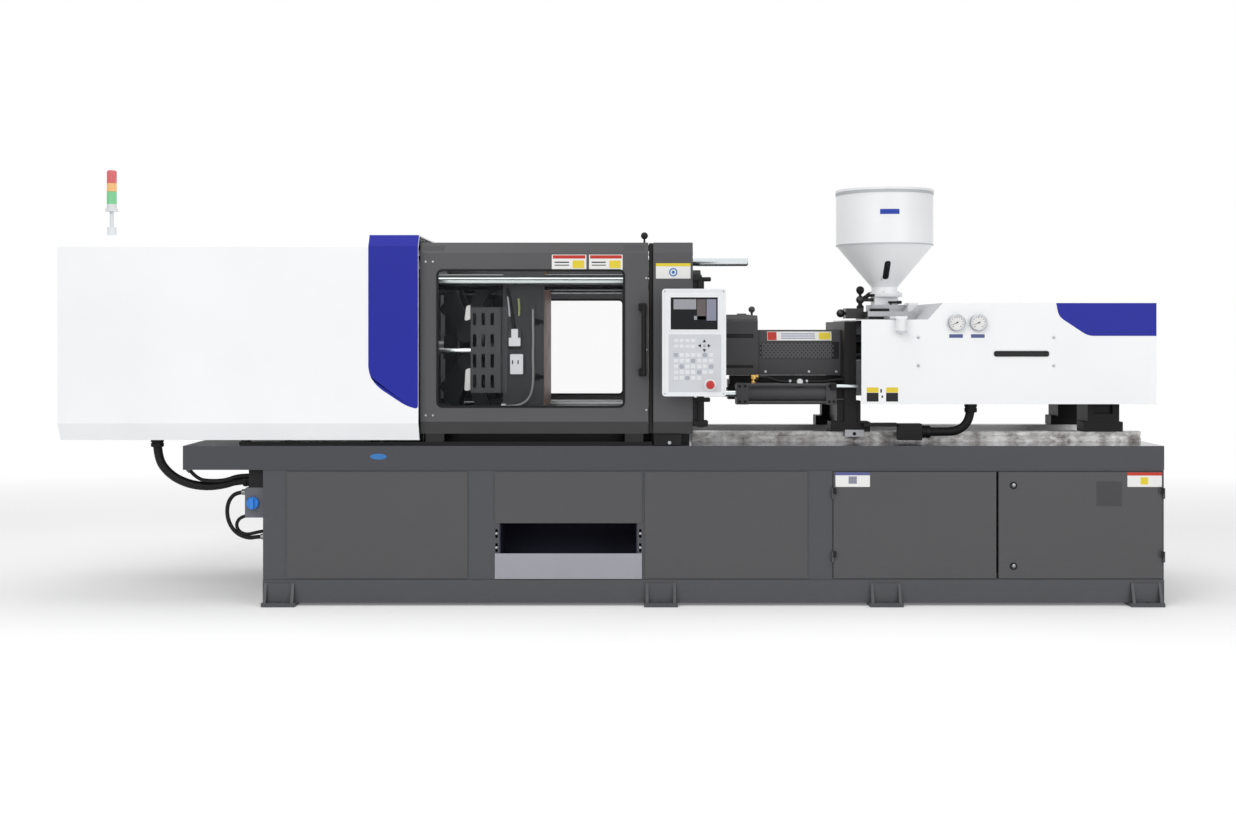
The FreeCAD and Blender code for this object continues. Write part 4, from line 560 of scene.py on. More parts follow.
def tray_sheet(name, colour, inside):
    """Bright sheet of the parts tray; its inner faces are less metallic and painted dark as shade."""
    f = Finish(name)
    lines, cloud = f.noise(1.0, 3.0, 0.6, (6.0, 60.0, 900.0)), f.noise(6.0, 4.0, 0.6)
    painted_shade_inside = f.axis(1) > CENTRE_Y + TRAY_FRONT
    # The inner faces' dark colour is painted shade.
    base = f.mix(painted_shade_inside, f.toned(cloud, colour), inside)
    return f.skin(base, 0.34 + lines * 0.14, 0.3, lines, 0.00003, Metallic=(1.0 - painted_shade_inside) * 0.7)


def end_box(name, colour, sockets):
    """Moulded end box; the socket block that stands on it is black."""
    f = Finish(name)
    grain = f.noise(600.0)
    base = f.mix(f.axis(2) > SOCKETS_LOW, f.toned(grain, colour), sockets)
    return f.skin(base, 0.44 + grain * 0.06, 0.2, grain, 0.00004)


def clear_sheet(name, tint, alpha):
    """Clear polycarbonate sheet with a few wiped smears in its gloss."""
    f = Finish(name)
    smear = f.noise(3.0, 5.0, 0.6, (1.0, 1.0, 3.5))
    return f.skin(tint, 0.02 + smear * 0.05, 0.3, Alpha=alpha + smear * 0.006)


def printed(name, colour, gloss=0.35):
    """Printed film: flat ink with a very slight tooth and edge fade."""
    f = Finish(name)
    tooth, age = f.noise(700.0, 1.0), f.noise(24.0, 3.0, 0.6)
    return f.skin(f.toned(age, colour, 0.96, 1.03), gloss + age * 0.08, 0.25, tooth, 0.00002)


def stack_lenses(name, green, amber, red):
    """Stack light's three ribbed lenses, told apart by height, each with a weak light of its own."""
    f = Finish(name)
    up = f.axis(2)
    base = f.mix(up > LENS_JOINTS[0], green, amber)
    base = f.mix(up > LENS_JOINTS[1], base, red)
    ribs = f.waves(60.0, bands_direction="Z")
    # Painted highlight: the ribs' crests are mixed towards white.
    base = f.mix(ribs * 0.35, base, f.mix(0.5, base, (1.0, 1.0, 1.0)))
    return f.skin(base, 0.22, 0.5, ribs, 0.0008, Emission_Color=base, Emission_Strength=0.12)


def feed_casting(name):
    """Feed throat by its places: black slide and levers, grey plates, white neck and drain."""
    f = Finish(name)
    x, y, z = f.axis(0), f.axis(1), f.axis(2)
    black = ((x < SLIDE_END) + (z > LEVER_ROOT[1]) * (x < LEVER_ROOT[0])).clamped()
    white = ((z > NECK_LOW) + (y < DRAIN_FRONT)).clamped()
    pale = (x > PALE_PLATE[0]) * (z > PALE_PLATE[1])
    rub = f.noise(30.0, 4.0, 0.6, (1.0, 3.0, 3.0))
    base = f.mix(rub, rgb(150, 151, 154), rgb(184, 185, 188))
    for where, colour in ((pale, rgb(206, 207, 208)), (white, rgb(238, 240, 242)),
                          (black, rgb(30, 30, 32))):
        base = f.mix(where, base, colour)
    bare = (1.0 - black) * (1.0 - white)
    return f.skin(base, 0.34 + rub * 0.14, 0.5, rub, 0.0001, Metallic=bare * 0.5)


FINE = (4.0, 1400.0, 1400.0)     # brush lines of ground bars

DARK = sprayed_paint("dark grey coat", rgb(80, 80, 82), 0.42, 0.3)
BED_DARK = bed_paint("bed grey coat", rgb(73, 74, 78), rgb(65, 66, 71))
# Its second colour is the painted shade of the gates' bottom fold.
GATE_DARK = gate_paint("gate grey coat", rgb(84, 84, 86), rgb(58, 58, 59), rgb(24, 24, 25))
GUARD_DARK = sprayed_paint("guard grey coat", rgb(74, 74, 76), 0.40, 0.2)
WHITE = sprayed_paint("white coat", rgb(248, 249, 251), 0.30, 0.5, 380.0, 0.00004, 0.05)
BLUE = sprayed_paint("blue coat", rgb(44, 50, 158), 0.34, 0.12, 380.0, 0.00003, 0.0)
# This light grey also serves as painted shade on white parts: the notch wall and the hopper's rings.
LEVEL_GREY = sprayed_paint("light grey coat", rgb(190, 192, 196), 0.40)
BLACK = sprayed_paint("black coat", rgb(30, 30, 31), 0.38, 0.15)
SOOT = sprayed_paint("support black coat", rgb(36, 34, 34), 0.44, 0.15)
PLATEN = platen_paint("platen grey", rgb(58, 59, 61))
CROSSHEAD = rod_in_casting("crosshead and rod", rgb(48, 49, 52))
LINK = cast_paint("link grey", rgb(38, 39, 41), 0.44)
# Near-black cast paint that stands in for the shadow inside the moving platen's T-slots.
SLOT_SHADOW = cast_paint("slot shadow", rgb(10, 10, 11), 0.8)
FEED = feed_casting("feed casting")
TIE_BAR = bar_chrome("chromed tie bar")
RAIL = worn_rail("worn guide rail")
TRAY = ground_steel("bright sheet", rgb(157, 158, 166), 0.36, (5.0, 500.0, 500.0), 0.25)
# Its second colour is the painted shade on the tray's inner faces.
CHUTE_SHEET = tray_sheet("chute sheet", rgb(156, 156, 164), rgb(38, 38, 54))
BAND_STEEL = ground_steel("heater band sheet", rgb(96, 92, 88), 0.40, (500.0, 8.0, 8.0), 0.4)
STEEL = ground_steel("turned steel", rgb(176, 178, 182), 0.26)
CHROME = ground_steel("chromed bar", rgb(222, 228, 230), 0.10, FINE, 0.20)
GUIDE_ROD = ground_steel("guide rod steel", rgb(212, 222, 220), 0.2, FINE, 0.2)
BRASS = ground_steel("brass", rgb(196, 160, 92), 0.24)
FITTING = ground_steel("plated fitting", rgb(150, 150, 146), 0.30)
PANE = clear_sheet("clear pane", rgb(120, 128, 132), 0.012)
BLACK_PLASTIC = moulded_plastic("black plastic", rgb(26, 26, 28), 0.42, 0.15)
CONDUIT = moulded_plastic("pale conduit", rgb(150, 152, 150), 0.5)
PANEL_WHITE = moulded_plastic("panel white", rgb(236, 238, 240), 0.36)
KEY_GREY = moulded_plastic("key grey", rgb(206, 209, 214), 0.42)
KEY_PALE = moulded_plastic("key pale", rgb(226, 228, 232), 0.40)
KEY_DARK = moulded_plastic("key dark", rgb(168, 173, 182), 0.42)
RED = moulded_plastic("button red", rgb(190, 36, 36), 0.30)
KNOB_BLUE = moulded_plastic("knob blue", rgb(46, 128, 216), 0.36)
PALE_PLASTIC = moulded_plastic("pale plastic", rgb(222, 224, 226), 0.40)
BOX_GREY = end_box("box grey", rgb(104, 106, 112), rgb(26, 26, 28))
SOCKET_PALE = socket_plastic("socket plastic", rgb(226, 227, 230), rgb(50, 50, 52), rgb(60, 60, 64))
RUBBER = cast_rubber("hose rubber", rgb(24, 24, 25))
CORRUGATED = cast_rubber("conduit black", rgb(26, 26, 28), 0.36)
WIRE_PALE = cast_rubber("pale wire", rgb(170, 172, 176), 0.42)
WIRE_GREEN = cast_rubber("green wire", rgb(150, 160, 96), 0.42)
LENSES = stack_lenses("stack lenses", rgb(96, 196, 128), rgb(236, 176, 92), rgb(206, 58, 62))
INK_WHITE = printed("white film", rgb(238, 238, 236))
INK_RED = printed("red ink", rgb(196, 62, 52))
INK_BLUE = printed("blue ink", rgb(44, 70, 170))
INK_YELLOW = printed("yellow ink", rgb(232, 208, 66))
INK_BLACK = printed("black ink", rgb(28, 28, 30))
INK_SKY = printed("sky blue ink", rgb(60, 122, 186))
INK_SLATE = printed("slate ink", rgb(92, 98, 148))
SCREEN = printed("screen glass", rgb(16, 17, 20), 0.12)
FIELD_PALE = printed("pale field", rgb(158, 158, 166), 0.12)
FIELD_BROWN = printed("brown field", rgb(104, 96, 96), 0.12)
FIELD_LILAC = printed("lilac field", rgb(140, 142, 158), 0.12)




# ---------------------------------------------------------------- finishes of the frame's own pieces

COATS = (
    (BED_DARK, "bed_frame"),
    (DARK, "bed_panels cabinet_door_left cabinet_door_right"),
    (GATE_DARK, "front_gate rear_gate column_covers"),
    (WHITE, "clamp_cover_front clamp_cover_rear injection_cover"),
    (PALE_PLASTIC, "beacon_pole"),
    (TRAY, "switchgear"),
    (CHUTE_SHEET, "chute_tray"),
    (PLATEN, "rear_platen moving_platen fixed_platen"),
    (SOOT, "front_support rear_support"),
    (FEED, "hopper_base"),
    (LINK, "upper_rear_link lower_rear_link upper_front_link lower_front_link"
           " upper_crosshead_link lower_crosshead_link ejector_plate"),
    (CROSSHEAD, "crosshead"),
    (TIE_BAR, "tie_bars"),
    (CHROME, "platen_rods"),
    (STEEL, "barrel screw"),
    (LINK, "tie_bar_nuts clamp_cylinder injection_drive"),
    (RAIL, "carriage_rails"),
    (CHROME, "cylinder_rods"),
    (BLACK, "gate_rails gate_handle panel_post"),
    (GUARD_DARK, "carriage_cylinders purge_guard barrel_guard ejector_guard"),
    (PANE, "front_gate_window rear_gate_window"),
    (PANEL_WHITE, "control_panel"),
    (RED, "emergency_button"),
    (SOCKET_PALE, "platen_socket"),
    (BOX_GREY, "junction_box"),
    (KNOB_BLUE, "selector_knob"),
    (RUBBER, "cable_bundle signal_cable oil_hose injection_hose"),
    (CONDUIT, "platen_cable"),
    (BAND_STEEL, "heater_bands"),
    (STEEL, "pressure_gauges"),
    (WHITE, "hopper hopper_lid"),
    (LENSES, "beacon_lenses"),
)
for coat, names in COATS:
    for name in names.split():
        NODES[name].data.materials.clear()
        NODES[name].data.materials.append(coat)
# ---------------------------------------------------------------- cords and hoses

MAIN_ROUTE = [(-2252, -510, 810), (-2252, -510, 715), (-2195, -508, 635), (-2110, -505, 588),
              (-2015, -502, 572), (-1925, -500, 582), (-1862, -500, 604), (-1788, -500, 604)]
SIGNAL_ROUTE = [(-2078, -542, 652), (-2044, -542, 613), (-1980, -542, 604), (-1905, -542, 608),
                (-1845, -542, 632), (-1788, -542, 632)]
OIL_ROUTE = [(-1807, -500, 545), (-1859, -500, 545), (-1897, -502, 513), (-1911, -506, 460),
             (-1900, -510, 395), (-1862, -512, 342), (-1803, -512, 318), (-1757, -510, 326),
             (-1710, -510, 326)]
PLATEN_ROUTE = [(-402, -406.4, 1452), (-402, -406.4, 1380), (-400, -406.4, 1300),
                (-403, -406.4, 1220), (-400, -406.4, 1140), (-402, -406.4, 1070),
                (-414, -406.4, 1015), (-445, -406.4, 980), (-490, -406.4, 966), (-538, -406.4, 966)]
HOSE_ROUTE = [(1796, -390, 979), (1796, -390, 900), (1735, -390, 838), (1640, -390, 836),
              (1546, -390, 836)]
MAIN_R, SIGNAL_R, OIL_R, HOSE_R, PLATEN_R = 0.022, 0.009, 0.010, 0.022, 0.006
MAIN_RIBS = (0.0068, 0.0016)      # pitch and depth
PLATEN_RIBS = (0.004, 0.0008)
FERRULE = ((0.9, 0.0), (1.32, 0.0), (1.42, 0.05), (1.42, 0.38), (1.26, 0.42), (1.26, 0.5),
           (1.42, 0.54), (1.42, 0.9), (1.3, 1.0), (0.9, 1.0))     # share of radius, share of length
STEPS_APART = 1e-5           # keeps two rings of one height from merging


def metres(route):
    """A route in metres, from millimetres."""
    return np.array(route) / 1000


def framed(points):
    """Points moved to the frame's place."""
    return [tuple(point) for point in np.add(points, (0.0, CENTRE_Y, 0.0))]


def conduit(name, route, radius, ribs, body, finish, node):
    """Corrugated conduit: radius = outer - rib (1 - wave) ^ 2, wave = (1 - cos(2 pi s / pitch)) / 2."""
    pitch, rib = ribs
    path, along = evenly(metres(route), pitch / 6)
    wave = 0.5 - 0.5 * np.cos(2 * np.pi * along / pitch)
    made = piece(name, [tube(path, radius - rib * (1 - wave) ** 2, 20)], body, finish,
                 replaced=(node,))
    return made, framed(path)


def hose(name, route, radius, body, node):
    """Smooth hose: its line is the route's NURBS, its skin a round tube round it."""
    made = route_curve(name, framed(metres(route)), radius)
    made.data.materials.append(RUBBER)
    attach(made, body)
    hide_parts(node)
    return made


def ferrules(name, route, radius, long, body, finish):
    """Crimped sleeves on a hose's two ends: a turned profile carried along the end's direction."""
    profile, sleeves = np.array(FERRULE), []
    for end in (route, route[::-1]):
        start, then = metres(end[:2])
        way = (then - start) / np.linalg.norm(then - start)
        path = start + way * profile[:, 1:] * long
        path += way * np.arange(len(profile))[:, None] * STEPS_APART
        side = np.cross(way, (0.0, 0.0, 1.0) if abs(way[2]) < 0.9 else (0.0, 1.0, 0.0))
        side = side / np.linalg.norm(side)
        points = rings_on(path, profile[:, 0] * radius, side, np.cross(way, side), 24)
        first, last = np.arange(24), np.arange(24) + (len(path) - 1) * 24
        closing = np.stack([first, np.roll(first, -1), np.roll(last, -1), last], -1)
        sleeves.append((points, [*grid_faces(len(path), 24), *closing]))
    piece(name, sleeves, body, finish)


main_line, main_path = conduit("main_conduit", MAIN_ROUTE, MAIN_R, MAIN_RIBS, "bed", CORRUGATED,
                               "cable_bundle")
signal_line = hose("signal_line", SIGNAL_ROUTE, SIGNAL_R, "bed", "signal_cable")
oil_line = hose("oil_line", OIL_ROUTE, OIL_R, "bed", "oil_hose")
conduit("platen_conduit", PLATEN_ROUTE, PLATEN_R, PLATEN_RIBS, "moving_platen", CONDUIT, "platen_cable")
hose("return_hose", HOSE_ROUTE, HOSE_R, "carriage", "injection_hose")
ferrules("oil_hose_ferrules", OIL_ROUTE, OIL_R, 0.030, "bed", FITTING)
ferrules("return_hose_ferrules", HOSE_ROUTE, HOSE_R, 0.045, "carriage", BLACK)
ferrules("conduit_glands", MAIN_ROUTE, MAIN_R, 0.040, "bed", BLACK_PLASTIC)


# ---------------------------------------------------------------- outlines, films and fasteners

FILM = 0.0006                # how far a film's back lies in its wall
HEAD = ((0.0, 0.35), (0.42, 0.35), (0.46, 1.0), (0.78, 0.92), (0.97, 0.55), (1.0, -0.2), (0.0, -0.2))
LABEL_OUT = 0.0008           # how far a label's ground stands out of it
HEAD_HIGH = 0.62             # a screw head's height as a share of its radius


def softened(corners, radii):
    """Outline through the corners, turned anticlockwise, each rounded by its own radius.

    The corner's curve is (1 - t)^2 start + 2 t (1 - t) corner + t^2 end, which starts and ends
    one radius from the corner.
    """
    corners, t = np.asarray(corners, float), np.linspace(0, 1, 7)[:, None]
    parts = []
    for i, (corner, radius) in enumerate(zip(corners, radii)):
        start, end = [corner + (near - corner) / np.linalg.norm(near - corner) * radius
                      for near in (corners[i - 1], corners[(i + 1) % len(corners)])]
        curve = (1 - t) ** 2 * start + 2 * t * (1 - t) * corner + t * t * end
        parts.append(curve if radius else corner[None])
    outline = np.concatenate(parts)
    x, z = outline.T
    return outline if (x * np.roll(z, -1) - z * np.roll(x, -1)).sum() > 0 else outline[::-1]


def front_plate(outline, face, out, finish, sunk=FILM, bevel=0.0003):
    """Plate on a front face: face is the face's distance in front of the centre plane."""
    return (*plate(outline, -face + sunk, -face - out, bevel), finish)


def panel(x0, x1, z0, z1, face, out, finish, radius=0.002, bevel=0.0003):
    """Rectangular front_plate with rounded corners."""
    return front_plate(rounded((x0, z0), (x1, z1), radius), face, out, finish, bevel=bevel)


def disc(x, z, radius, steps=28):
    """Circle of points on a front face."""
    return np.stack(circle(steps), -1) * radius + (x, z)


def heads(places, radius, axis, sign):
    """Button-head screws with a socket: HEAD turned at each place, facing sign along axis."""
    profile = np.array(HEAD) * (radius, sign * radius * HEAD_HIGH)
    return copies(turned(profile, axis=axis, steps=12), places)


def front_heads(places, face, radius=0.006):
    """Screw heads on a front face at (x, z) places."""
    return heads([(x, -face, z) for x, z in places], radius, "y", -1)


def crossed(xs, zs):
    """Every (x, z) place of the given columns and rows."""
    return [(x, z) for x in xs for z in zs]


def ring(outer, inner, back, level):
    """Flat frame between two outlines with as many points, between two levels of Y."""
    return stacked(((inner, back), (outer, back), (outer, level), (inner, level), (inner, back))), \
        grid_faces(5, len(outer))


def closed_box(corners):
    """Six faces over eight corners: four of one end, then four of the other, in the same order."""
    return np.array(corners), capped(2, 4)


def plain_label(x0, x1, z0, z1, face, bands):
    """Printed plate without words: white, with bands given as shares of its width and height."""
    wide, high = x1 - x0, z1 - z0
    return [panel(x0, x1, z0, z1, face, LABEL_OUT, INK_WHITE)] + [
        panel(x0 + left * wide, x0 + right * wide, z0 + low * high, z0 + top * high,
              face + LABEL_OUT, 0.0003, ink, 0.0008, 0.0001)
        for left, right, low, top, ink in bands]


# ---------------------------------------------------------------- clamp cover, stack light, gates

COVER_FACE, BEVEL_FACE = 0.640, 0.600
STRIPE = ((-1.188, 1.752), (-0.9465, 1.752), (-0.9465, 0.962), (-1.005, 0.979), (-1.153, 1.076),
          (-1.188, 1.140))
STRIPE_RADII = (0, 0, 0.02, 0.03, 0.05, 0.04)
STRIPE_OUT = 0.0010
BEVEL_TOP = 1.810
GATE_FACE = 0.595
WINDOW_X = (-0.856, 0.052)
COLUMN_FACE = 0.600
SIGN_AT = (0.294, 1.6290)    # the ring and dot on the column's label
EAR_FACE = 0.426
SIDE_FACE = 0.400            # the moving platen's side
TEE = ((0.000, -0.009), (-0.022, -0.009), (-0.022, -0.016), (-0.044, -0.016), (-0.044, 0.016),
       (-0.022, 0.016), (-0.022, 0.009), (0.000, 0.009))
WIRE_Y = -SIDE_FACE - 0.0075
HANDLE_Y = (-0.6440, -GATE_FACE + 0.0005)
ROLLER_FACE = 0.5920
LUG_X, LUG_BACK = 0.3905, -0.5800


def bevel_stripe():
    """The stripe's top: a film on the cover's sloping upper band, from its lower to its upper edge."""
    low, high = np.array([-COVER_FACE, STRIPE[0][1]]), np.array([-BEVEL_FACE, BEVEL_TOP])
    along = (high - low) / np.linalg.norm(high - low)
    out = np.array([-along[1], along[0]]) * STRIPE_OUT
    section = (low - out * 0.5, high - out * 0.5, high + out, low + out)
    return closed_box([(x, *point) for x in (STRIPE[0][0], STRIPE[1][0]) for point in section])


def gasket(name, low, high, back, level, near, far, body):
    """Rubber frame round a gate's window."""
    window = rounded((WINDOW_X[0], low), (WINDOW_X[1], high), 0.022, 7)
    piece(name, [ring(shrunk(window, near), shrunk(window, far), back, level)], body, BLACK_PLASTIC)


piece("clamp_stripe", [front_plate(softened(STRIPE, STRIPE_RADII), COVER_FACE, STRIPE_OUT, BLUE),
                       bevel_stripe()], "bed", BLUE)
gasket("window_gasket", 0.974, 1.637, -GATE_FACE + 0.005, -GATE_FACE - 0.003, -0.007, 0.004,
       "front_gate")
gasket("rear_window_gasket", 0.983, 1.517, GATE_FACE - 0.005, GATE_FACE + 0.003, 0.004, -0.007,
       "rear_gate")
RED_HEAD = ((0.03, 0.97, 0.74, 0.96, INK_RED), (0.60, 0.94, 0.12, 0.62, INK_YELLOW),
            (0.08, 0.50, 0.46, 0.54, INK_BLACK), (0.08, 0.50, 0.28, 0.34, INK_BLACK))
piece("gate_labels", [shape for x0, x1 in ((-0.299, -0.130), (-0.117, 0.047))
                      for shape in plain_label(x0, x1, 1.6405, 1.7152, GATE_FACE, RED_HEAD)],
      "front_gate", INK_WHITE)
piece("gate_screws", [front_heads(crossed((0.163,), (0.956, 1.600, 1.250))
                                  + crossed((-0.915, -0.880), (0.93, 1.68)), GATE_FACE)],
      "front_gate", STEEL)
piece("column_label", plain_label(0.2095, 0.3785, 1.598, 1.6728, COLUMN_FACE,
                                  ((0.0, 1.0, 0.80, 1.0, INK_YELLOW),))
      + [(*ring(disc(*SIGN_AT, 0.0205), disc(*SIGN_AT, 0.0145), -COLUMN_FACE - 0.0008,
                -COLUMN_FACE - 0.0012), INK_SKY),
         front_plate(disc(*SIGN_AT, 0.0080), COLUMN_FACE + 0.0008, 0.0003, INK_SKY, bevel=0.0001)],
      "bed", INK_WHITE)
piece("column_seal", [block((0.1755, -0.592, 0.842), (0.1965, -0.560, 1.772), 0.003)], "bed", RUBBER)
# Black strip behind the gate's foot: painted shadow in the gap between the gate and the deck.
piece("gate_gap_shadow", [block((-0.938, -0.484, 0.7812), (0.190, -0.481, 0.8340), 0.0008)], "bed", BLACK)
# Black sheet in the left of the rear window: it stands in for the shade seen through that part of the
# window.
piece("rear_gate_shade_sheet", [block((-0.880, 0.5800, 0.960), (-0.440, 0.5820, 1.545), 0.0006)], "rear_gate",
      BLACK)
piece("gate_guide_rod", [pin(0.0165, -0.9440, 0.1845, (0, -0.462, 1.5910), "x", 28)], "bed", GUIDE_ROD)
EARS = (((-0.744, 1.392), (-0.714, 1.400), (-0.714, 1.472), (-0.734, 1.468)),
        ((-0.744, 1.042), (-0.714, 1.046), (-0.714, 1.157), (-0.738, 1.150)))
piece("guard_brackets", [front_plate(softened(ear, (0.012, 0.008, 0.004, 0.010)), EAR_FACE - 0.004,
                                     0.0020, INK_WHITE) for ear in EARS],
      "moving_platen", INK_WHITE)
# Painted shadow: black T-shaped plates where the T-slots open on the moving platen's side.
piece("tee_slot_shadows", [front_plate(np.array(TEE) + (-0.3472, z), SIDE_FACE, 0.0006, SLOT_SHADOW,
                                    bevel=0.0001) for z in (1.3875, 1.1105)],
      "moving_platen", SLOT_SHADOW, smooth=False)


def wire(points, radius, steps, finish):
    """Wire that lies on the moving platen's side, through (x, z) points."""
    return (*tube([(x, WIRE_Y, z) for x, z in points], radius, steps), finish)


piece("plug_wires", [
    wire([(-0.4960, 1.3540), (-0.4990, 1.3800), (-0.5080, 1.4300), (-0.5160, 1.4900),
          (-0.5300, 1.5580)], 0.0075, 14, RUBBER),
    wire([(-0.5180, 1.4150), (-0.5210, 1.4600), (-0.5260, 1.5150)], 0.0060, 12, WIRE_PALE),
    wire([(-0.4720, 1.4180), (-0.4700, 1.4600), (-0.4740, 1.5050)], 0.0055, 12, WIRE_GREEN),
    (*block((-0.5260, WIRE_Y - 0.006, 1.2540), (-0.4600, WIRE_Y + 0.007, 1.2655), 0.002), BLACK)],
      "moving_platen", RUBBER)
piece("handle_feet", [block((0.1240, HANDLE_Y[0], z), (0.1610, HANDLE_Y[1], z + 0.038), 0.005)
                      for z in (1.1225, 1.4395)], "front_gate", BLACK_PLASTIC)
piece("roller_block", [block((0.2000, -ROLLER_FACE, 0.7812), (0.3330, -0.5000, 0.8385), 0.003),
                       (*front_heads([(0.2760, 0.7960)], ROLLER_FACE, 0.010), STEEL)],
      "bed", BLACK)
LUGS = ((0.4740, -0.6180, 0.9960, 1.0180, 0.004), (0.4640, -0.6180, 0.8760, 0.9080, 0.006),
        (0.4780, -0.6180, 1.5840, 1.6050, 0.004), (0.4260, -0.6050, 0.9000, 1.0050, 0.002),
        (0.4260, -0.6050, 1.5400, 1.5900, 0.002))      # right end, front, bottom, top, ease
piece("post_lugs", [block((LUG_X, y, z0), (x, LUG_BACK, z1), ease) for x, y, z0, z1, ease in LUGS],
      "bed", BLACK)


# ---------------------------------------------------------------- operator's panel

PANEL_FACE = 0.750
SCREEN_FACE = PANEL_FACE + 0.0008
KEY_COLUMNS = (0.3015, 0.3288, 0.3560, 0.3832, 0.4124, 0.4396, 0.4697)
KEY_ROWS = (1.2275, 1.2000, 1.1725, 1.1450, 1.1175)
TOP_ROWS = (1.2960, 1.2690)
ARROWS = (0.4372, 1.2720)
ARROW = ((0.0095, 0.0), (-0.0055, 0.0085), (-0.0055, -0.0085))
ARROW_STEP = 0.0215
STOP_AT = (0.465, -PANEL_FACE, 1.085)
SCREEN_FIELDS = ((0.290, 0.398, 1.446, 1.494, FIELD_PALE), (0.402, 0.444, 1.396, 1.494, FIELD_BROWN),
                 (0.388, 0.444, 1.396, 1.414, FIELD_PALE), (0.448, 0.494, 1.392, 1.494, FIELD_LILAC))


def frame_ring(name, low, high, radius, inwards, out):
    """Raised frame along a rounded rectangle's edge."""
    outline = rounded(low, high, radius, 6)
    piece(name, [ring(outline, shrunk(outline, inwards), -PANEL_FACE + FILM, -PANEL_FACE - out)],
          "control_panel", PANEL_WHITE)


def key(x, z, wide, high, rise, finish):
    """One domed film key: a small rounded plate with a broad eased edge."""
    outline = rounded((x - wide, z - high), (x + wide, z + high), 0.003, 3)
    return front_plate(outline, PANEL_FACE, rise, finish, 0.0, 0.0012)


def arrow(quarter):
    """Triangular key that points away from the middle of its group, a number of quarter turns round."""
    cos, sin = math.cos(quarter * math.pi / 2), math.sin(quarter * math.pi / 2)
    corners = np.array(ARROW) @ np.array([[cos, sin], [-sin, cos]])
    middle = (ARROWS[0] + ARROW_STEP * cos, ARROWS[1] + ARROW_STEP * sin)
    outline = softened(corners + middle, (0.003,) * 3)
    return front_plate(outline, PANEL_FACE, 0.0022, INK_BLACK, 0.0, 0.0006)


frame_ring("panel_bezel", (0.236, 1.030), (0.541, 1.544), 0.014, 0.010, 0.004)
piece("panel_screen", [panel(0.275, 0.502, 1.348, 1.504, PANEL_FACE, 0.0008, SCREEN, 0.004)]
      + [panel(*sides, SCREEN_FACE, 0.0002, ink, 0.001, 0.0001) for *sides, ink in SCREEN_FIELDS],
      "control_panel", SCREEN)
frame_ring("panel_screen_frame", (0.268, 1.341), (0.509, 1.511), 0.006, 0.008, 0.0032)
pads = [panel(0.266, 0.518, 1.050, 1.326, PANEL_FACE, 0.0007, KEY_GREY, 0.006)]
for column, x in enumerate(KEY_COLUMNS):
    for row, z in enumerate(KEY_ROWS[:4] if column > 4 else KEY_ROWS):
        pads.append(key(x, z, 0.0105, 0.0095, 0.0026, KEY_PALE if (column + 2 * row) % 5 else KEY_DARK))
pads += [key(x, z, 0.0105, 0.008, 0.0024, KEY_PALE) for x in KEY_COLUMNS[:4] for z in TOP_ROWS]
pads += [arrow(quarter) for quarter in range(4)]
pads.append(key(*ARROWS, 0.006, 0.006, 0.0022, KEY_DARK))
piece("panel_keypad", pads, "control_panel", KEY_GREY)
piece("stop_collar", [turned([(0.0125, 0.0), (0.028, 0.0), (0.028, -0.003), (0.025, -0.0044),
                              (0.0125, -0.0044), (0.0125, 0.0)], STOP_AT, "y", 36)],
      "control_panel", PANEL_WHITE)
rim = crossed((0.248, 0.529), (1.042, 1.532))
piece("panel_screws", [front_heads(rim, PANEL_FACE + 0.004, 0.0035)], "control_panel", STEEL)


# ---------------------------------------------------------------- injection unit

GUARD_FACE = 0.200
PERF_LOW, PERF_HIGH = (0.756, 1.200), (1.160, 1.284)
PERF_PITCH = (0.0205, 0.0118)
PERF_RADIUS = 0.0043
COVER_FRONT = 0.480
PATCH = ((2.199, 1.481), (2.2115, 1.414), (2.357, 1.3177), (2.6968, 1.3177), (2.6968, 1.481))
PATCH_RADII = (0, 0.03, 0.03, 0, 0)
DIALS, DIAL_HIGH, DIAL_FACE = (1.702, 1.810), 1.383, -COVER_FRONT - 0.020
DIAL_RADIUS = 0.034
STICKER = ((0.0, 1.0, 0.64, 1.0, INK_YELLOW), (0.0, 1.0, 0.0, 0.62, INK_BLACK))
CELL = np.array([(1, 0), (1, 1), (0, 1), (-1, 1), (-1, 0), (-1, -1), (0, -1), (1, -1)]) * 0.5


def perforated(low, high, back, level):
    """Sheet with staggered round holes.

    Each cell is a ring of eight points on its border joined to eight on its hole, front and back,
    and the hole's wall joins the two; odd rows are moved by half a cell.
    """
    pitch = np.array(PERF_PITCH)
    border, hole = CELL * pitch, np.stack(circle(8), -1) * PERF_RADIUS
    column, row = np.meshgrid(np.arange(int((high[0] - low[0]) / pitch[0]) - 1),
                              np.arange(int((high[1] - low[1]) / pitch[1])))
    x = low[0] + (column + 0.5 + 0.5 * (row % 2)) * pitch[0]
    z = low[1] + (row + 0.5) * pitch[1]
    rings = ((border, level), (hole, level), (hole, back), (border, back))
    return copies((stacked(rings), grid_faces(4, 8)), np.stack([x, 0 * x, z], -1))


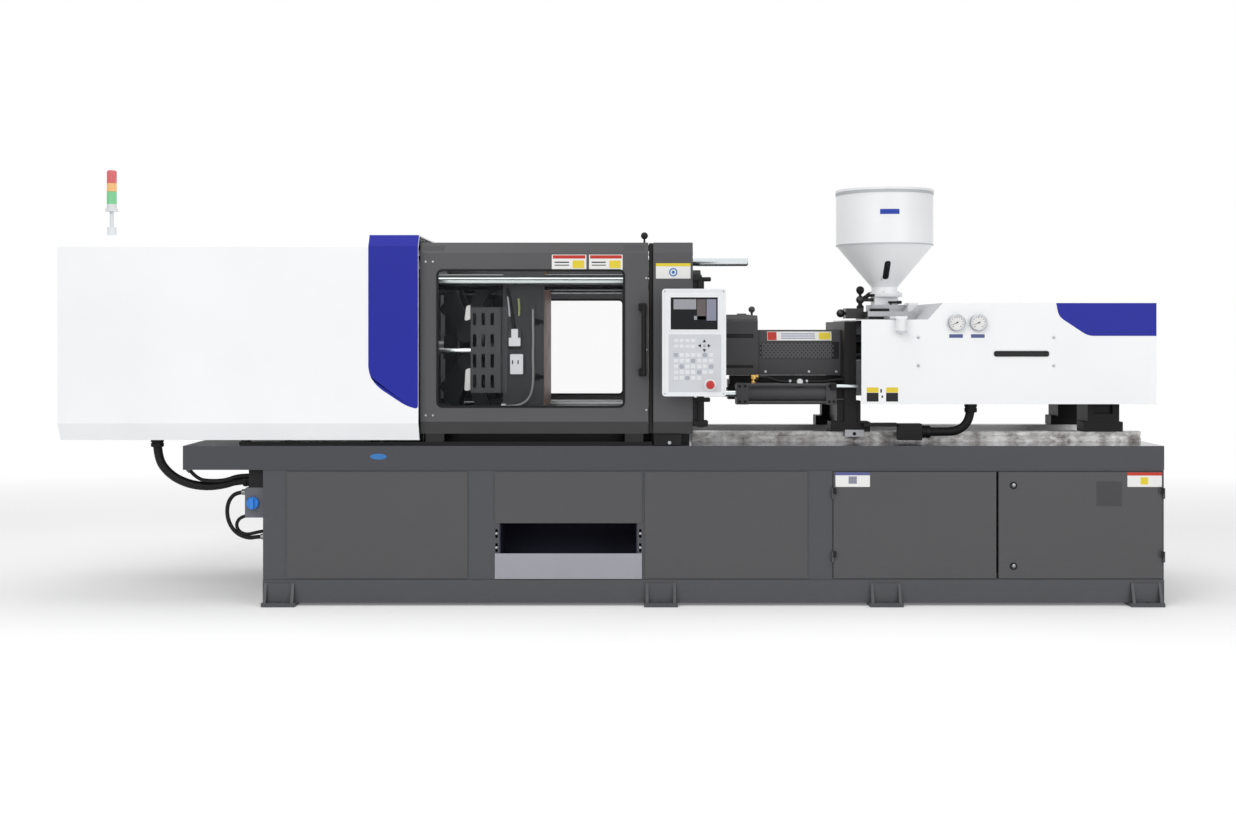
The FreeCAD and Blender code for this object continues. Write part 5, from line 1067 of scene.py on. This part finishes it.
def gauge_dial(name, x, z, radius):
    """Dial with its marks, its needle and its hub; the marks fan over three quarters of a turn."""
    def bar(degrees, start, end, wide, tip, sunk, high, bevel):
        """Tapering bar along a direction from the dial's middle, in shares of its radius."""
        cos, sin = math.cos(math.radians(degrees)), math.sin(math.radians(degrees))
        corners = np.array([(start, -wide), (end, -tip), (end, tip), (start, wide)]) * radius
        outline = corners @ np.array([[cos, sin], [-sin, cos]]) + (x, z)
        return (*plate(outline, level - sunk, level - high, bevel), INK_BLACK)

    level = DIAL_FACE - 0.0008
    shapes = [pin(0.0352, 0.0003, -0.0008, (x, DIAL_FACE, z), "y", 40)]
    for number in range(11):
        inner, wide = (0.74, 0.022) if number % 5 else (0.66, 0.036)
        shapes.append(bar(225 - 27 * number, inner, 0.90, wide, wide, 0, 0.0005, 0.0001))
    shapes.append(bar(205, -0.24, 0.78, 0.05, 0.012, 0.0008, 0.0016, 0.0002))
    hub = turned([(0, -0.0005), (0.1 * radius, -0.0005), (0.1 * radius, -0.003), (0, -0.0034)],
                 (x, level, z), "y", 16)
    piece(name, shapes + [(*hub, INK_BLACK)], "carriage", INK_WHITE)


# Black sheet behind the perforated mesh: painted shade seen through its holes.
piece("barrel_guard_hole_shade", [panel(PERF_LOW[0] - 0.002, PERF_HIGH[0] + 0.002, PERF_LOW[1] - 0.002,
                                     PERF_HIGH[1] + 0.002, GUARD_FACE, 0.0005, INK_BLACK, 0.001)],
      "carriage", INK_BLACK)
piece("barrel_guard_mesh", [perforated(PERF_LOW, PERF_HIGH, -GUARD_FACE - 0.0006,
                                       -GUARD_FACE - 0.0024)],
      "carriage", GATE_DARK, smooth=False)
piece("barrel_guard_screws", [front_heads(crossed((0.784, 1.008, 1.150), (1.132,)), GUARD_FACE, 0.008)],
      "carriage", STEEL)
piece("cover_patch", [front_plate(softened(PATCH, PATCH_RADII), COVER_FRONT, 0.0010, BLUE)], "carriage",
      BLUE)
piece("cover_screws", [front_heads(crossed((1.515, 2.187), (1.310, 1.170)), COVER_FRONT, 0.008)],
      "carriage", STEEL)
grip = rounded((1.895, 1.220), (2.158, 1.238), 0.006)
piece("cover_grip", [ring(shrunk(grip, -0.005), grip, -COVER_FRONT + FILM, -COVER_FRONT - 0.004),
                     panel(1.892, 2.161, 1.217, 1.241, COVER_FRONT - 0.004, 0.0008, INK_BLACK)],
      "carriage", BLACK_PLASTIC)
for number, x in enumerate(DIALS):
    gauge_dial(f"gauge_dial_{number + 1}", x, DIAL_HIGH, DIAL_RADIUS)
piece("gauge_labels", [panel(x - 0.034, x + 0.034, 1.308, 1.326, COVER_FRONT, 0.0008, INK_SLATE)
                       for x in DIALS], "carriage", INK_SLATE)
piece("cover_stickers", plain_label(1.259, 1.317, 0.992, 1.062, COVER_FRONT, STICKER)
      + plain_label(1.355, 1.414, 0.992, 1.062, COVER_FRONT, STICKER)
      + [panel(x, x + 0.008, z, z + high, COVER_FRONT, 0.0006, INK_BLACK)
         for x, z, high in ((1.326, 1.036, 0.018), (1.332, 1.010, 0.012))],
      "carriage", INK_WHITE)
flange = crossed((0.640, 0.668, 1.093, 1.115), (0.985, 1.063))
piece("cylinder_screws", [front_heads(flange, 0.344, 0.007)], "carriage", BLACK)


# ---------------------------------------------------------------- feed throat and cylinder fittings

THROAT_AT = 1.433
LEVER_AT = (1.300, -0.030)
BALL = ((0.0, -0.022), (0.0095, -0.0205), (0.0175, -0.0130), (0.0215, -0.0020), (0.0205, 0.0090),
        (0.0150, 0.0170), (0.0070, 0.0212), (0.0, 0.0220))
LEVER_FOOT = ((0, 1.4605), (0.019, 1.4605), (0.019, 1.472), (0.011, 1.480), (0.011, 1.492), (0, 1.492))
LEVER_STEM = ((0, 1.500), (0.0085, 1.500), (0.0075, 1.538), (0, 1.538))
LEVER_ARM = ((1.306, 1.508), (1.330, 1.521), (1.350, 1.536), (1.362, 1.540))
FIT_Y = -0.296               # the row of fittings over the carriage cylinder
PIPES = (((0.737, 1.107), (0.775, 1.107), (0.806, 1.098), (0.840, 1.086), (0.870, 1.083),
          (0.894, 1.083)),
         ((0.989, 1.083), (1.060, 1.083), (1.110, 1.089), (1.150, 1.094), (1.1700, 1.094)))
ROD_Y = -0.3555
CONE = ((0.068, 1.572), (0.253, 1.794))      # (distance from the centre plane, height) below and above
SLOPE = ((0.200, 1.288), (0.184, 1.348))     # the same for the barrel guard's leaning upper face
GUARD_BANDS = ((0.7940, 1.1250, 1.2930, 1.3390, -0.0006, 0.0008, INK_WHITE),
               (0.7960, 0.8420, 1.2950, 1.3370, 0.0007, 0.0012, INK_RED),
               (1.0600, 1.1200, 1.2980, 1.3340, 0.0007, 0.0012, INK_YELLOW),
               *[(0.8650, 1.0400, z, z + 0.0040, 0.0007, 0.0011, INK_SLATE)
                 for z in (1.303, 1.314, 1.325)])
NOTCH = ((1.5625, 1.3992), (1.6368, 1.4806))
NOTCH_OUT, NOTCH_HALF = np.array((-0.0008, 0.0008)), 0.4785
HOPPER_R = 0.2530
BOLT_RING = 0.082            # radius of the ring of bolts in the hopper's foot
BEADS = ((0.0005, 0.0028, 2.0550, 2.0765), (0.0010, 0.0014, 1.7900, 1.7965))


def hexagon(centre, across, low, high, axis="z"):
    """Six-sided nut on an axis, its edges eased at both ends."""
    r = across / math.sqrt(3)
    return turned([(0, low), (r * 0.92, low), (r, low + 0.1 * r), (r, high - 0.1 * r), (r * 0.92, high),
                   (0, high)], centre, axis, 6)


def leaning(x0, x1, z0, z1, face, near, far, finish):
    """Plate that leans with a front wall, between two distances in front of that wall.

    The wall's y = -(d0 + (d1 - d0) (z - h0) / (h1 - h0)), with (d0, h0) and (d1, h1) the face's ends.
    """
    (d0, h0), (d1, h1) = face
    box = [(x, -(d0 + (z - h0) / (h1 - h0) * (d1 - d0)) - out, z)
           for out in (far, near) for x, z in ((x0, z0), (x1, z0), (x1, z1), (x0, z1))]
    return (*closed_box(box), finish)


def bent_film(x0, x1, z0, z1, over):
    """Film on the hopper's round wall: y = -sqrt(r^2 - x^2), with r just under and over the wall."""
    x = np.linspace(x0, x1, 12)
    inner, outer = HOPPER_R - 0.0004, HOPPER_R + over
    rim = [np.stack([THROAT_AT + x, -np.sqrt(r * r - x * x), np.full(12, z)], -1)
           for r, z in ((inner, z0), (inner, z1), (outer, z1), (outer, z0))]
    return np.stack(rim, 1).reshape(-1, 3), capped(12, 4)


def hopper_ring(sunk, out, low, high):
    """Flat-sided ring on the hopper's wall, its outer corners eased."""
    inner, outer, ease = HOPPER_R - sunk, HOPPER_R + out, 0.25 * (out + sunk)
    return turned([(inner, low), (outer - ease, low), (outer, low + ease), (outer, high - ease),
                   (outer - ease, high), (inner, high), (inner, low)], (THROAT_AT, 0, 0), "z", 96)


piece("feed_lever", [
    turned(BALL, (*LEVER_AT, 1.556), steps=28), (*turned(LEVER_STEM, (*LEVER_AT, 0), steps=20), BLACK),
    turned(LEVER_FOOT, (*LEVER_AT, 0)),
    tube([(x, LEVER_AT[1], z) for x, z in LEVER_ARM], (0.0095, 0.0110, 0.0110, 0.0090))],
      "carriage", BLACK_PLASTIC)
piece("feed_slide", [block((1.328, -0.186, 1.4434), (1.426, -0.150, 1.4580), 0.0015),
                     panel(1.3150, 1.4460, 1.4036, 1.4168, 0.190, 0.0018, BLACK_PLASTIC)],
      "carriage", BLACK)
piece("shut_off_handle", [block((1.436, -0.098, 1.4860), (1.500, -0.082, 1.4975), 0.003),
                          block((1.482, -0.100, 1.4835), (1.507, -0.080, 1.5000), 0.003),
                          pin(0.006, 1.4785, 1.488, (1.450, -0.090, 0), "z", 16)],
      "carriage", BLACK_PLASTIC)
# Painted shade: a grey band round the drain's lower end stands in for the shade of its open mouth.
piece("drain_mouth_shade", [turned([(0.0255, 1.3318), (0.0276, 1.3318), (0.0276, 1.3440), (0.0255, 1.3440),
                               (0.0255, 1.3318)], (1.425, -0.512, 0), "z", 36)],
      "carriage", KEY_GREY)
turns = np.linspace(0, 2 * np.pi, 6, endpoint=False) + 0.3
piece("feed_bolts", [
    heads([(x, y, 1.4430) for x, y in crossed((1.335, 1.534), (-0.165, 0.165))], 0.009, "z", 1),
    heads([(THROAT_AT + BOLT_RING * math.cos(turn), BOLT_RING * math.sin(turn), 1.5440)
           for turn in turns], 0.007, "z", 1)],
      "carriage", STEEL)
# The sight glass is dark: painted shade of the hopper's inside seen through it.
piece("sight_glass", [leaning(1.400, 1.440, 1.606, 1.710, CONE, -0.0070, -0.0050, SCREEN)],
      "carriage", SCREEN, smooth=False)
piece("cylinder_fittings", [
    hexagon((0.711, FIT_Y, 0), 0.030, 1.0690, 1.0860),
    pin(0.0095, 1.085, 1.098, (0.711, FIT_Y, 0), "z", 20),
    block((0.699, FIT_Y - 0.013, 1.0960), (0.724, FIT_Y + 0.013, 1.1180), 0.0025),
    hexagon((0, FIT_Y, 1.107), 0.026, 0.723, 0.738, "x"),
    (*block((0.905, FIT_Y - 0.022, 1.0700), (0.978, FIT_Y + 0.022, 1.0920), 0.002), BLACK),
    (*hexagon((0, FIT_Y, 1.083), 0.022, 0.893, 0.906, "x"), STEEL),
    (*hexagon((0, FIT_Y, 1.083), 0.022, 0.977, 0.990, "x"), STEEL),
    (*turned([(0, -0.018), (0.013, -0.018), (0.0155, -0.014), (0.0155, -0.004), (0.010, 0.0), (0, 0.0)],
             (0.946, FIT_Y - 0.0215, 1.0850), "y"), PALE_PLASTIC)], "carriage", BRASS)
piece("cylinder_pipes", [tube([(x, FIT_Y, z) for x, z in path], 0.0078, 14) for path in PIPES],
      "carriage", BLACK)
piece("carriage_rod", [
    pin(0.0108, 1.106, 1.2325, (0, ROD_Y, 1.063), "x"),
    (*block((1.098, ROD_Y - 0.013, 1.046), (1.127, ROD_Y + 0.012, 1.077), 0.002), BLACK)],
      "carriage", CHROME)
# Black sheet just inside the purge guard's front face: painted shade seen through the guard.
piece("purge_guard_shade", [block((0.4640, -0.2165, 1.1350), (0.7350, -0.2150, 1.4000), 0.0006)],
      "purge_guard", BLACK)
# Black block behind the guards, above the carriage cylinder: painted shade that fills the gap between
# them.
piece("guard_gap_shade", [block((0.6000, -0.1900, 1.0660), (1.1680, -0.1300, 1.1125), 0.003)],
      "carriage", BLACK)
piece("rail_face", [block((1.1720, -0.3420, 0.8060), (1.2700, -0.3350, 0.8420), 0.002),
                    (*front_heads([(1.2200, 0.8230)], 0.3420, 0.0090), BLACK)],
      "carriage", LEVEL_GREY)
piece("guard_label", [leaning(*sides, SLOPE, under, over, ink)
                      for *sides, under, over, ink in GUARD_BANDS],
      "carriage", INK_WHITE, smooth=False)
# Painted shade: a grey film over the white cover's sloping notch wall stands in for the shade on that
# wall.
notch_rim = (NOTCH[0] - NOTCH_OUT, NOTCH[1] - NOTCH_OUT, NOTCH[1] + NOTCH_OUT, NOTCH[0] + NOTCH_OUT)
piece("notch_shade_film", [closed_box([(x, y, z) for y in (-NOTCH_HALF, NOTCH_HALF) for x, z in notch_rim])],
      "carriage", LEVEL_GREY, smooth=False)
# Painted shade: grey rings at the hopper's top bead and at the crease where its cone meets its wall.
piece("hopper_shaded_beads", [hopper_ring(*bead) for bead in BEADS], "carriage", LEVEL_GREY)
piece("hopper_label", [bent_film(-0.066, 0.032, 1.941, 1.967, 0.0006)], "carriage", INK_BLUE)


# ---------------------------------------------------------------- bed: badge, doors, chute, end box

BED_FACE = 0.600
BADGE_AT, BADGE_HALF = (-1.1453, 0.7289), (0.0405, 0.0144)
BLUE_HEAD = ((0.0, 1.0, 0.80, 1.0, INK_SLATE), (0.38, 0.62, 0.22, 0.72, FIELD_LILAC))
RED_STRIP = ((0.0, 1.0, 0.78, 1.0, INK_RED), (0.38, 0.60, 0.16, 0.66, INK_YELLOW))
VENT_X, VENT_Z, VENT_STEP = (2.3600, 2.4840), (0.4880, 0.6080), 0.0092
LOCKS = crossed((1.955,), (0.588, 0.194))
HINGES_Z = (0.239, 0.549)
TAB_FACE = 0.5940
TABS_Z = (0.353, 0.284)
LOOP_Y = -0.511
LOOP = ((-1.7840, 0.4320), (-1.8300, 0.4300), (-1.8640, 0.3950), (-1.8520, 0.3520), (-1.8100, 0.3350),
        (-1.7600, 0.3480), (-1.7130, 0.3560))
REAR_SPANS = ((-1.592, -0.710), (-0.577, 0.141), (0.156, 0.950), (1.076, 2.683))
REAR_LEVELS = (0.150, 0.395, 0.639)
SCREW_IN = 0.015             # rear screws stand that far inside their panel's sides
LOUVRE = ((0.0, -0.0004), (0.0075, -0.0004), (0.0015, 0.0120), (0.0, 0.0120))
LOUVRE_WIDE = 0.240


def door_pieces(side, label, bands, hinge):
    """A cabinet door's label and the caps of its hinges."""
    body = "cabinet_door_" + side
    piece(side + "_door_label", plain_label(label, label + 0.168, 0.5810, 0.6520, BED_FACE, bands),
          body, INK_WHITE)
    caps = [rounded((hinge, z - 0.001), (hinge + 0.017, z + 0.028), 0.004) for z in HINGES_Z]
    piece(side + "_hinge_caps", [front_plate(cap, BED_FACE, 0.0135, BLACK) for cap in caps], body,
          BLACK)


piece("bed_badge", [front_plate(np.stack(circle(40), -1) * BADGE_HALF + BADGE_AT, BED_FACE, 0.0012,
                                INK_SKY)], "bed", INK_SKY)
door_pieces("left", 1.0860, BLUE_HEAD, 1.0720)
door_pieces("right", 2.5110, RED_STRIP, 2.6700)
piece("door_vent", [panel(*VENT_X, *VENT_Z, BED_FACE, 0.0010, GUARD_DARK)]
      + [panel(VENT_X[0] + 0.006, VENT_X[1] - 0.006, z, z + 0.0050, BED_FACE + 0.0010, 0.0008,
               GUARD_DARK, 0.001, 0.0002)
         for z in np.arange(VENT_Z[0] + 0.006, VENT_Z[1] - 0.008, VENT_STEP)],
      "cabinet_door_right", GUARD_DARK)
piece("door_locks", [front_plate(disc(x, z, 0.0175), BED_FACE, 0.0038, BLACK_PLASTIC) for x, z in LOCKS]
      + [(*front_heads([(x, z + 0.0035) for x, z in LOCKS], BED_FACE + 0.0060, 0.0085), STEEL)],
      "cabinet_door_right", BLACK_PLASTIC)
piece("chute_tabs", [block((x, -TAB_FACE, z - 0.022), (x + 0.015, -0.575, z + 0.022), 0.001)
                     for x, z in crossed((-0.5765, 0.1255), TABS_Z)]
      + [(*front_heads(crossed((-0.569, 0.133), TABS_Z), TAB_FACE, 0.0072), STEEL)],
      "bed", TRAY)
piece("tray_screws", [front_heads(crossed((-0.552, 0.116), (0.150, 0.238)), BED_FACE, 0.0055)],
      "bed", STEEL)
loop = evenly([(x, LOOP_Y, z) for x, z in LOOP], 0.006)[0]
piece("end_loop", [tube(loop, 0.0085, 18)], "bed", RUBBER)
screws = [(x, BED_FACE, z) for left, right in REAR_SPANS
          for x, z in crossed((left + SCREW_IN, right - SCREW_IN), REAR_LEVELS)]
piece("rear_panel_screws", [heads(screws, 0.0075, "y", 1)], "bed", STEEL)
louvre = closed_box([(x, BED_FACE + out, up) for x in (0.0, LOUVRE_WIDE) for out, up in LOUVRE])
piece("rear_louvres", [copies(louvre, [(x, 0.0, z) for x, z in
                                       crossed((1.420, 2.100), np.arange(0.300, 0.500, 0.022))])],
      "bed", DARK, smooth=False)


# ---------------------------------------------------------------- floor, light and camera

FLOOR_HALF = 40.0
FLOOR_FADE = (3.2, 6.5)      # metres from the middle between which the floor turns into backdrop
FLOOR_LIFT = 0.16
FLOOR_NARROW = 0.55          # the fade reaches further along X than along Y
LENS = 42.96
SENSOR = 36.0
CAMERA_PLACE = (0.0244, -7.73, 1.347)
CAMERA_SHIFT = -0.0623
CLIP_END = 200.0
SKY_ON_OBJECT = 0.57
PURE_WHITE = (1.0, 1.0, 1.0)
LAMPS = (("front key", (-3.0, -6.5, 5.0), (0.0, 0.0, 1.0), 5.0, 204.0),
         ("front fill", (4.5, -6.0, 2.6), (0.3, 0.0, 1.1), 4.0, 84.0),
         ("top light", (0.0, 0.5, 5.5), (0.0, 0.0, 0.8), 5.0, 102.0))


def seen_white(f):
    """1 for rays that look at, mirror or pass to the backdrop; 0 for those that light the object."""
    path = [f.node("ShaderNodeLightPath", {}, out=name)
            for name in ("Is Camera Ray", "Is Glossy Ray", "Is Transmission Ray")]
    return (path[0] + path[1] + path[2]).clamped()


def floor_finish():
    """Pale floor, lifted for the camera, that keeps the shadow and fades into the white backdrop."""
    f = Finish("pale floor")
    across, deep = f.axis(0) * FLOOR_NARROW, f.axis(1)
    away = (across * across + deep * deep) ** 0.5
    fade = ((away - FLOOR_FADE[0]) / (FLOOR_FADE[1] - FLOOR_FADE[0])).clamped()
    tone = f.mix(f.noise(0.8), (0.90, 0.90, 0.90), (0.93, 0.93, 0.93))
    lift = f.node("ShaderNodeEmission", {}, PURE_WHITE, seen_white(f) * FLOOR_LIFT)
    near = f.node("ShaderNodeAddShader", {}, f.node("ShaderNodeBsdfDiffuse", {}, tone), lift)
    far = f.node("ShaderNodeEmission", {}, PURE_WHITE, seen_white(f))
    return f.end(f.node("ShaderNodeMixShader", {}, fade, near, far))


def floor():
    """One flat square under the machine, just below its feet."""
    mesh = bpy.data.meshes.new("floor")
    corners = np.array([(-1, -1, 0), (1, -1, 0), (1, 1, 0), (-1, 1, 0)]) * FLOOR_HALF
    mesh.from_pydata(corners, [], [(0, 1, 2, 3)])
    mesh.materials.append(floor_finish())
    placed("floor", mesh)


def world():
    """White where the camera sees it, plainer where it lights the object."""
    f = Finish("studio", "worlds", "ShaderNodeOutputWorld")
    strength = f.between(seen_white(f), SKY_ON_OBJECT, 1.0)
    bpy.context.scene.world = f.end(f.node("ShaderNodeBackground", {}, PURE_WHITE, strength))


def lamp(name, place, aim, size, power):
    """Square area lamp turned from its place to its aim."""
    data = bpy.data.lights.new(name, "AREA")
    data.size = size
    data.energy = power
    made = placed(name, data)
    x, y, z = np.subtract(aim, place)
    made.location = place
    made.rotation_euler = (math.atan2(math.hypot(x, y), -z), 0.0, math.atan2(y, x) - math.pi / 2)


def camera():
    """The photograph's view: level, far off, with the frame shifted down."""
    data = bpy.data.cameras.new("view")
    data.sensor_width = SENSOR
    data.lens = LENS
    data.shift_y = CAMERA_SHIFT
    data.clip_end = CLIP_END
    made = placed("view", data)
    made.location = CAMERA_PLACE
    made.rotation_euler = (math.pi / 2, 0.0, 0.0)
    bpy.context.scene.camera = made


floor()
world()
for each in LAMPS:
    lamp(*each)
camera()
bpy.context.scene.view_settings.view_transform = "Standard"
